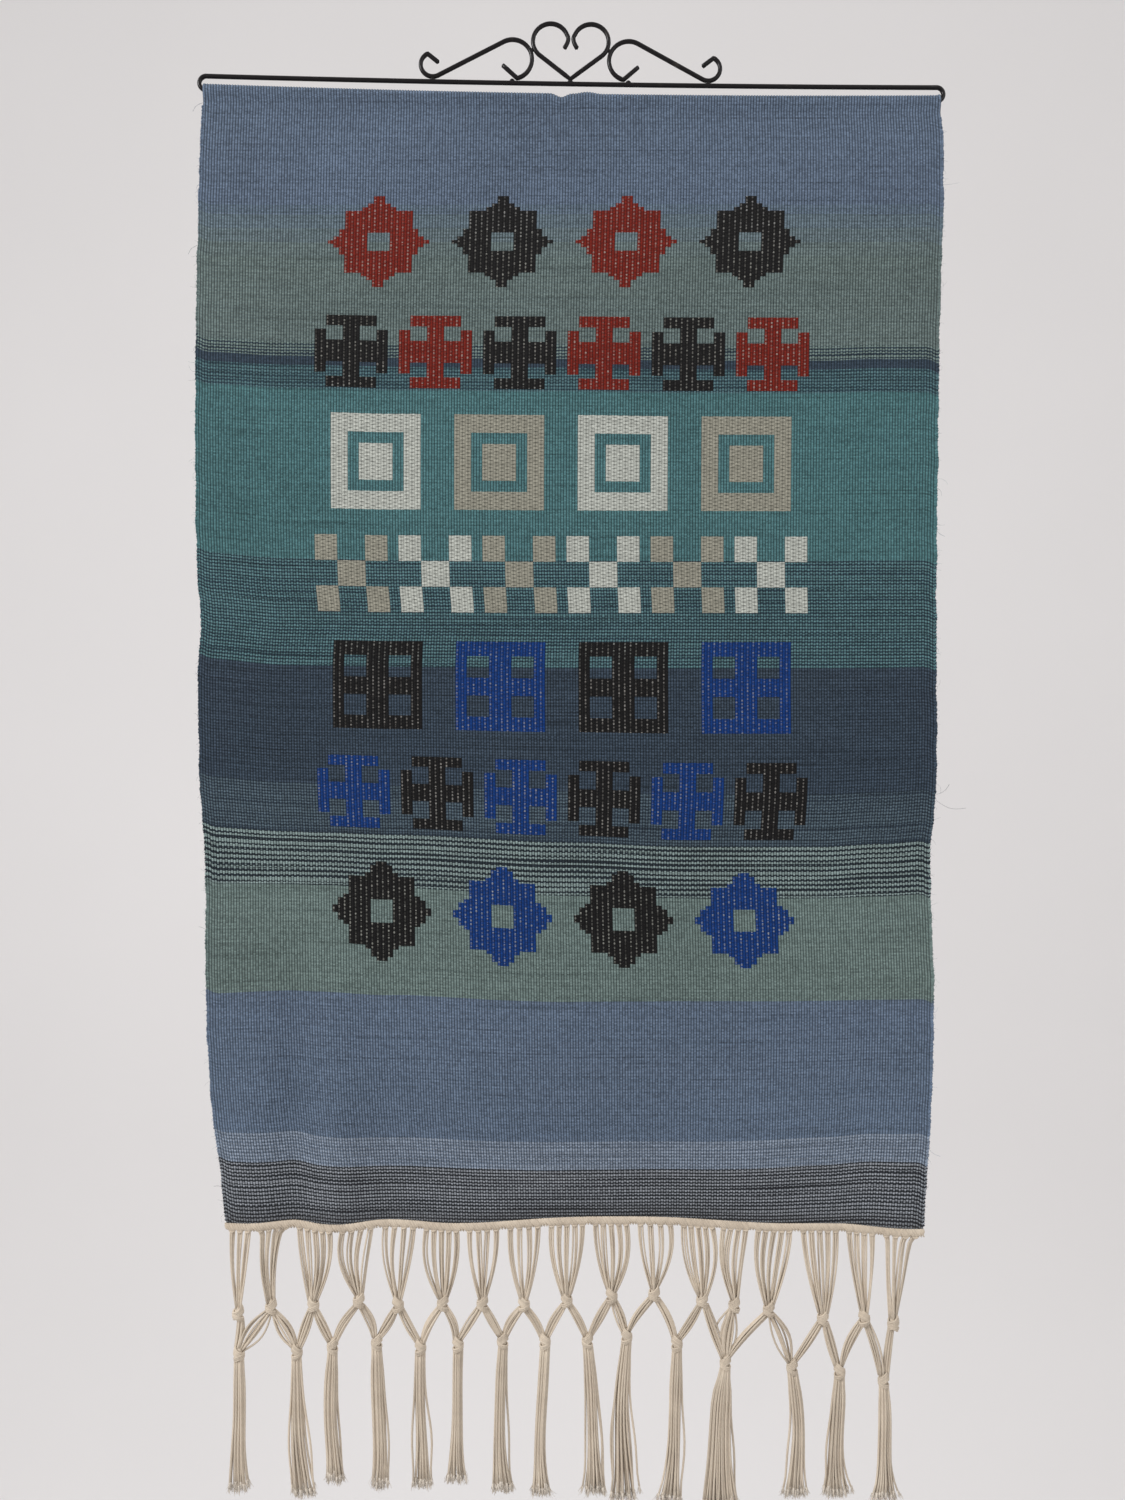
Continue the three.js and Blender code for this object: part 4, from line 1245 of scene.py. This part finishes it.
def strand_loops(settings, roots, rng):
    """A loop of thread round the front of each strand's root, slung a little at its middle."""
    count = len(roots)
    t = np.linspace(-1, 1, 7)
    forward = (HEADING["depth"] / 2 - 0.5) * np.cos(t * 1.3)
    sag = 0.7 * (1 - t**2)
    paths = roots[:, None] + coordinates(
        t * 1.7,
        rng.normal(0, 0.1, (count, 1)) - forward,
        0.8 - HEADING["height"] + rng.normal(0.25, 0.2, (count, 1)) * t - sag,
    )
    return tubes(paths, thread_radius(settings) * 0.85, 5, tint=rng.uniform(0, 1, count))


def heading_surface(settings):
    """The strip that binds the hem: a flat rope, the turns round it and the strands' loops."""
    roots, _, _ = strand_roots()
    rng = np.random.default_rng(21)
    turns = heading_turns(settings, rng)
    return joined([heading_rope(roots), turns, strand_loops(settings, roots, rng)])


def strand_threads(settings):
    """Threads from the heading to the first knots. Each goes down straight and across by a
    power of t, how late its strand draws together, and hangs aside by sin(pi t)."""
    roots, place, knot = strand_roots()
    upper, _ = knot_rows()
    rng = np.random.default_rng(31)
    each = settings.threads
    radius = thread_radius(settings)
    count = len(roots)
    t = np.linspace(0, 1, 11)
    thread = (np.arange(each) - (each - 1) / 2)[None, :]
    start = roots[:, None] + coordinates(
        thread * radius * 1.75, rng.uniform(-0.5, 0.5, (count, each)), 2 - HEADING["height"]
    )
    strands, late, bow = UPPER_KNOTS[knot, 2:].T
    gathered = (place - 0.5) * (strands - 1) * STRAND["apart"]
    end = upper[knot][:, None] + coordinates(
        gathered[:, None] + thread * 0.6, rng.uniform(-1.9, 1.9, (count, each)), KNOT_HOLD
    )
    spread = (place[:, None] - 0.5) * STRAND["spread"]
    slack = bow[:, None] + spread + rng.normal(0, 0.4, (count, 1))
    slack = slack + rng.normal(0, 0.25, (count, each))
    late = late[:, None, None] * rng.uniform(0.88, 1.12, (count, 1, 1))
    paths = mixed(start[:, :, None], end[:, :, None], t[:, None])
    across = mixed(start[..., :1], end[..., :1], t**late)
    paths[..., 0] = across + hump(t) * slack[..., None]
    paths[..., 1] += hump(t) * rng.normal(0, 0.4, (count, each, 1))
    radii = radius * (1 - 0.12 * hump(t))[None]
    tint = rng.uniform(0, 1, count * each)
    return tubes(paths.reshape(-1, len(t), 3), radii, 5, tint=tint)


def knot_wraps(settings):
    """Overhand knots. A bundle of threads goes once round at a slant: z = offset + slope *
    cos(angle), on an oval that draws in above and below, and a second bundle goes round the
    other way. A barrel fills each knot."""
    centres = np.concatenate(knot_rows())
    count = len(centres)
    scale = np.where(np.arange(count) < len(UPPER_KNOTS), 1, LOWER_KNOT_SCALE)[:, None, None]
    rng = np.random.default_rng(41)
    facing = rng.uniform(-0.5, 0.5, count) + np.where(rng.uniform(size=count) > 0.5, 0, math.pi)
    radius = thread_radius(settings)
    surfaces = []
    t = np.linspace(0, 1, 15)
    start = (facing - math.pi / 2)[:, None, None]
    for threads, offset, slope, grow in WRAPS:
        angle = start + TURN * KNOT["round"] * t
        row = (np.arange(threads) - (threads - 1) / 2)[None, :, None]
        z = offset + row * radius * 1.5 + slope * np.cos(angle - facing[:, None, None])
        draw = np.sqrt(np.clip(1 - (z / (KNOT["height"] * 0.62)) ** 2, 0.1, 1)) + grow
        paths = centres[:, None, None] + scale[..., None] * coordinates(
            (KNOT["width"] / 2 - radius) * draw * np.cos(angle),
            (KNOT["depth"] / 2 - radius) * draw * np.sin(angle),
            z,
        )
        tint = rng.uniform(0, 1, count * threads)
        surfaces.append(tubes(paths.reshape(-1, len(t), 3), radius, 5, reference=UP, tint=tint))
    t = np.linspace(0.04, 0.96, 9)
    barrel = centres[:, None] + scale * coordinates(0.0, 0.0, (0.5 - t) * KNOT["height"] * 0.92)
    swell = np.sqrt(hump(t)) * (KNOT["depth"] / 2 - 1.0)
    surfaces.append(tubes(barrel, swell[None] * scale[..., 0], 10))
    return joined(surfaces)


def bundle(count, rng):
    """Even places in a disc of radius one: a sunflower's spiral, turned by chance."""
    number = np.arange(count) + 0.5
    angle = number * math.pi * (3 - math.sqrt(5)) + rng.uniform(0, TURN)
    return np.sqrt(number / count)[:, None] * coordinates(np.cos(angle), np.sin(angle))


def leg_threads(settings):
    """Bundles of threads between the two rows of knots. Each bows by sin(pi t), turns slowly
    round its line, and opens between its ends, the loose ones most."""
    upper, lower = knot_rows()
    rng = np.random.default_rng(51)
    t = np.linspace(0, 1, 9)
    count = LEG["threads"]
    surfaces = []
    for knot, (x, _, tied, *_) in enumerate(LOWER_KNOTS):
        for leg, number in enumerate(tied):
            away = math.copysign(LEG["away"], x - upper[number - 1, 0])
            start = upper[number - 1] + (away, 0, -KNOT_HOLD)
            across = LEG["apart"] * (2 * leg / (len(tied) - 1) - 1)
            end = lower[knot] + (across, 0, KNOT_HOLD)
            flat = bundle(count, rng) * (LEG["wide"], LEG["deep"])
            line = mixed(start, end, t[:, None])
            line[:, 0] += hump(t) * (LEG["bow"] * math.sin(97 * knot + 31 * leg) + away * 0.5)
            twist = (t - 0.3) * rng.uniform(-0.35, 0.35) * math.pi
            opening = LEG["loose"] if (knot, leg) in LOOSE_LEGS else LEG["firm"]
            open_by = 0.75 + opening * hump(t) * rng.uniform(0.3, 1.4, (count, 1))
            sideways = (flat[:, :1] * np.cos(twist) - flat[:, 1:] * np.sin(twist)) * open_by
            inwards = (flat[:, :1] * np.sin(twist) + flat[:, 1:] * np.cos(twist)) * open_by
            direction = unit(end - start)
            normal = np.array([-direction[2], 0, direction[0]])
            paths = line[None] + sideways[..., None] * normal - inwards[..., None] * FRONT
            tint = rng.uniform(0, 1, count)
            surfaces.append(tubes(paths, thread_radius(settings), 5, tint=tint))
    return joined(surfaces)


def tassel_paths(knot, lower, rng):
    """Threads of one tassel: an oval bundle that swells below its knot and flares to its tip
    with a power of t. Strays part from it with sin^2, and all of it sways a little."""
    _, _, tied, tip_x, end, spread = LOWER_KNOTS[knot]
    width, late, bow, strays_left, strays_right = TASSELS[knot]
    count = TASSEL["threads"] * len(tied)
    t = np.linspace(0, 1, 12)
    disc = bundle(count, rng)
    disc = disc[np.argsort(disc[:, 0])]
    neck = disc * TASSEL["neck"]
    body = disc * (width * TASSEL["body"], TASSEL["body_depth"])
    tip = disc * (spread / 2 - 1.2, TASSEL["tip_depth"]) + rng.normal(0, 0.5, (count, 2))
    swell = eased(t / TASSEL["swell"])[None, :, None]
    flare = t[None, :, None] ** late
    offset = mixed(mixed(neck[:, None], body[:, None], swell), tip[:, None], flare)
    middle = mixed(lower, np.array([tip_x, KNOT_Y, end]), t[:, None])
    bottom = end + TASSEL["fray"] + np.minimum(rng.gamma(1.6, 0.9, count), 5)
    apart = np.zeros((count, 1))
    apart[:strays_left] = -1
    apart[count - strays_right:] = 1
    parting = apart * rng.uniform(1.2, 3.2, (count, 1)) * hump(t**1.6) ** 2
    sway = bow * hump(t) + 0.7 * t * np.sin(TURN * t + knot)
    wave = rng.normal(0, 0.3, (count, 1))
    pace = rng.uniform(3, 8, (count, 1))
    phase = rng.uniform(0, 6, (count, 1))
    return coordinates(
        middle[:, 0] + offset[..., 0] + parting + sway + wave * np.sin(t * pace + phase) * t,
        middle[:, 1] + offset[..., 1],
        mixed(lower[2] - KNOT_HOLD, bottom[:, None], t),
    )


def brush_tips(paths, radius, rng):
    """Two short tapered plies past the end of each thread, each with its own lean."""
    ends = np.repeat(paths[:, -2:], 2, axis=0)
    count = len(ends)
    lean = rng.normal(0, 0.16, (count, 3)) * (1, 0.7, 0)
    direction = unit(ends[:, 1] - ends[:, 0] + lean)
    reach = BRUSH[:, 0] * rng.uniform(0.6, 1.25, (count, 1))
    tips = ends[:, 1][:, None] + direction[:, None] * reach[..., None]
    tint = rng.uniform(1.3, 1.8, count)
    return tips, tubes(tips, (radius * BRUSH[:, 1])[None], 5, tint=tint)


def frayed_hairs(paths, tips, radius, rng):
    """Fine hairs that leave each thread's brush, spread sideways and bend with t^2."""
    each = FRAY["hairs"]
    count = len(paths) * each
    root = np.repeat(tips[::2, 2], each, axis=0) + rng.uniform(0, 2.6, (count, 1)) * UP
    root += rng.uniform(-radius, radius, root.shape) * (1, 1, 0)
    direction = np.repeat(unit(paths[:, -1] - paths[:, -2]), each, axis=0)
    direction = unit(direction + rng.normal(0, 0.3, direction.shape) * (1, 0.8, 0.35))
    length = rng.uniform(1.5, 4.6, (count, 1))
    t = np.linspace(0, 1, 4)
    hairs = root[:, None] + direction[:, None] * (length * t)[..., None]
    hairs[..., 0] += rng.normal(0, 0.8, (count, 1)) * t**2
    hairs[..., 2] = np.maximum(hairs[..., 2] - t**2, FRAY["lowest"])
    radii = (FRAY["root"] - FRAY["taper"] * t)[None]
    return tubes(hairs, radii, 3, tint=rng.uniform(1.5, 2, count))


def tassel_threads(settings):
    """All tassels' threads with their brushes, and the fine hairs of their frayed ends."""
    _, lower = knot_rows()
    rng = np.random.default_rng(61)
    radius = thread_radius(settings)
    t = np.linspace(0, 1, 12)
    surfaces, hairs = [], []
    for knot in range(len(LOWER_KNOTS)):
        paths = tassel_paths(knot, lower[knot], rng)
        tint = rng.uniform(0, 1, len(paths))
        surfaces.append(tubes(paths, (radius * (1.1 - 0.15 * t**3))[None], 5, tint=tint))
        tips, brushes = brush_tips(paths, radius, rng)
        surfaces.append(brushes)
        hairs.append(frayed_hairs(paths, tips, radius, rng))
    return joined(surfaces), joined(hairs)


# Settings that a user may change


def colour_setting(name, description, channels):
    """A colour that a user may change; its default is given in 0-255 screen values."""
    return bpy.props.FloatVectorProperty(
        name=name, description=description, default=linear(channels), subtype="COLOR", size=3,
        min=0, max=1,
    )


def length_setting(name, description, default, least, most):
    """A length in metres that a user may change."""
    return bpy.props.FloatProperty(
        name=name, description=description, default=default, min=least, max=most, precision=5,
        unit="LENGTH",
    )


class HangerSettings(bpy.types.PropertyGroup):
    lacquer: colour_setting("Lacquer", "Colour of the lacquered wire", (13, 9, 11))


class ClothSettings(bpy.types.PropertyGroup):
    rib_rise: length_setting(
        "Rib rise", "Height of a rib above the grooves beside it", 0.00045, 0, 0.002
    )
    glint: bpy.props.FloatProperty(
        name="Warp ties", description="How pale the ties show on dark figures",
        default=0.7, min=0, max=1, subtype="FACTOR",
    )
    red: colour_setting("Red", "Red figures", (100, 22, 11))
    black: colour_setting("Black", "Black figures", (15, 14, 15))
    white: colour_setting("White", "White figures", (167, 170, 163))
    beige: colour_setting("Beige", "Beige figures", (136, 134, 122))
    blue: colour_setting("Blue", "Blue figures", (5, 46, 104))


class FringeSettings(bpy.types.PropertyGroup):
    thread: length_setting("Thread", "Diameter of a cotton thread", 0.00145, 0.0005, 0.003)
    threads: bpy.props.IntProperty(
        name="Threads", description="Threads in each strand of the heading", default=3, min=1, max=5,
    )
    ply: length_setting("Ply", "Length of one turn of the two plies", 0.004, 0.001, 0.02)
    cotton: colour_setting("Cotton", "Cotton in the light", (201, 189, 172))
    frayed: colour_setting("Frayed cotton", "Fine hairs at the tassels' ends", (222, 215, 206))
    cotton_shade: colour_setting("Soiled cotton", "Cotton where it is greyer", (187, 172, 154))


class StageSettings(bpy.types.PropertyGroup):
    distance: length_setting("Distance", "Camera to cloth", 0.753, 0.3, 5)
    floor_colour: colour_setting("Floor", "Colour of the floor and backdrop", (231, 229, 229))
    key: bpy.props.FloatProperty(
        name="Key light", description="Power of the main light", default=56.0, min=0, unit="POWER",
    )


GROUPS = {
    "hanging_hanger": HangerSettings,
    "hanging_cloth": ClothSettings,
    "hanging_fringe": FringeSettings,
    "hanging_stage": StageSettings,
}


class HANGING_OT_hanger(bpy.types.Operator):
    """Bend the bar, the heart and the two scrolls from round wire"""

    bl_idname = "hanging.hanger"
    bl_label = "Hanger"

    def execute(self, context):
        lacquer = lacquer_finish(context.scene.hanging_hanger)
        paths = {
            "bar": bar_path(),
            "heart": heart_path(),
            "scroll_left": scroll_path(-1),
            "scroll_right": scroll_path(1),
        }
        for node, path in paths.items():
            piece = put_mesh(f"{node}_wire", wire(path), lacquer, "thread")
            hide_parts(node)
        beads = put_mesh("weld_beads", weld_beads(), lacquer, "thread")
        return {"FINISHED"}


class HANGING_OT_cloth(bpy.types.Operator):
    """Weave the ribbed cloth with its sleeve, folds and figures"""

    bl_idname = "hanging.cloth"
    bl_label = "Cloth"

    def execute(self, context):
        settings = context.scene.hanging_cloth
        wool = wool_finish(settings)
        surface, flat_from = cloth_surface(settings)
        cloth = put_mesh("woven_cloth", surface, wool, "weave", flat_from)
        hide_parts("cloth")
        pieces = {
            "selvedge_turns": selvedge_turns(),
            "selvedge_fuzz": selvedge_fuzz(),
            "sleeve_stitches": sleeve_stitches(),
        }
        for name, made in pieces.items():
            put_mesh(name, made, wool, "weave")
        return {"FINISHED"}


class HANGING_OT_fringe(bpy.types.Operator):
    """Twine the heading and knot the cotton threads in two rows above the tassels"""

    bl_idname = "hanging.fringe"
    bl_label = "Fringe"

    def execute(self, context):
        settings = context.scene.hanging_fringe
        cotton = cotton_finish(settings)
        tassels, hairs = tassel_threads(settings)
        pieces = {
            "heading_twine": heading_surface(settings),
            "fringe_strands": strand_threads(settings),
            "fringe_knots": knot_wraps(settings),
            "fringe_legs": leg_threads(settings),
            "fringe_tassels": tassels,
            "frayed_ends": hairs,
        }
        for name, surface in pieces.items():
            put_mesh(name, surface, cotton, "thread")
        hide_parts("fringe")
        cloth = bpy.data.objects.get("woven_cloth")
        if cloth is None:
            raise RuntimeError("weave the cloth before the fringe")
        return {"FINISHED"}


def stage_sweep():
    """A floor that curves up by a quarter circle into a backdrop, in metres."""
    angle = np.linspace(-math.pi / 2, 0, 25)
    bend = SWEEP["bend"]
    profile = np.concatenate([
        [(SWEEP["front"], SWEEP["floor"])],
        coordinates(
            SWEEP["back"] + bend * np.cos(angle), SWEEP["floor"] + bend + bend * np.sin(angle)
        ),
        [(SWEEP["back"] + bend, SWEEP["top"])],
    ])
    across = np.array([-SWEEP["half"], SWEEP["half"]])[:, None]
    points = coordinates(across, profile[:, 0], profile[:, 1])
    grid = np.arange(points.shape[0] * points.shape[1]).reshape(points.shape[:2])
    quads = np.stack([grid[0, :-1], grid[1, :-1], grid[1, 1:], grid[0, 1:]], -1)
    return Surface(points / MM, quads, np.zeros((len(quads) * 4, 2)))


class HANGING_OT_stage(bpy.types.Operator):
    """Set out the pale floor, the lights and the camera"""

    bl_idname = "hanging.stage"
    bl_label = "Stage"

    def execute(self, context):
        settings = context.scene.hanging_stage
        scene = context.scene
        paint = paint_finish(tuple(settings.floor_colour))
        floor = put_mesh("floor_sweep", stage_sweep(), paint, "plain")
        scene.world = bpy.data.worlds.new("studio")
        scene.world.use_nodes = True
        background = scene.world.node_tree.nodes["Background"]
        background.inputs["Color"].default_value = (*WORLD["colour"], 1)
        background.inputs["Strength"].default_value = WORLD["strength"]
        middle = np.array(CAMERA["middle"]) * MM
        for name, place, size, share in LAMPS:
            light = bpy.data.lights.new(name, "AREA")
            light.size = size
            light.energy = settings.key * share
            lamp = bpy.data.objects.new(name, light)
            scene.collection.objects.link(lamp)
            lamp.location = place
            lamp.rotation_mode = "QUATERNION"
            aim = Vector(middle - np.array(place))
            lamp.rotation_quaternion = aim.to_track_quat("-Z", "Y")
            lamp.visible_camera = False
        camera = bpy.data.objects.new("camera", bpy.data.cameras.new("camera"))
        scene.collection.objects.link(camera)
        camera.location = (middle[0], -settings.distance, middle[2])
        camera.rotation_euler = (math.pi / 2, 0, 0)
        camera.data.sensor_width = CAMERA["film"]
        camera.data.lens = CAMERA["film"] * settings.distance / (CAMERA["view_height"] * MM)
        camera.data.clip_start = 0.01
        scene.camera = camera
        scene.view_settings.view_transform = "Standard"
        return {"FINISHED"}


OPERATORS = (HANGING_OT_hanger, HANGING_OT_cloth, HANGING_OT_fringe, HANGING_OT_stage)


class HANGING_PT_panel(bpy.types.Panel):
    """The hanging's pieces and their settings"""

    bl_idname = "HANGING_PT_panel"
    bl_label = "Wool wall hanging"
    bl_space_type = "VIEW_3D"
    bl_region_type = "UI"
    bl_category = "Hanging"

    def draw(self, context):
        for operator, (name, group) in zip(OPERATORS, GROUPS.items()):
            box = self.layout.box()
            box.operator(operator.bl_idname)
            for setting in group.__annotations__:
                box.prop(getattr(context.scene, name), setting)


CLASSES = (*GROUPS.values(), *OPERATORS, HANGING_PT_panel)


def register():
    for each in CLASSES:
        bpy.utils.register_class(each)
    for name, group in GROUPS.items():
        setattr(bpy.types.Scene, name, bpy.props.PointerProperty(type=group))


def unregister():
    for name in GROUPS:
        delattr(bpy.types.Scene, name)
    for each in reversed(CLASSES):
        bpy.utils.unregister_class(each)


def main():
    register()
    bpy.ops.hanging.hanger()
    bpy.ops.hanging.cloth()
    bpy.ops.hanging.fringe()
    bpy.ops.hanging.stage()


if __name__ == "__main__":
    main()
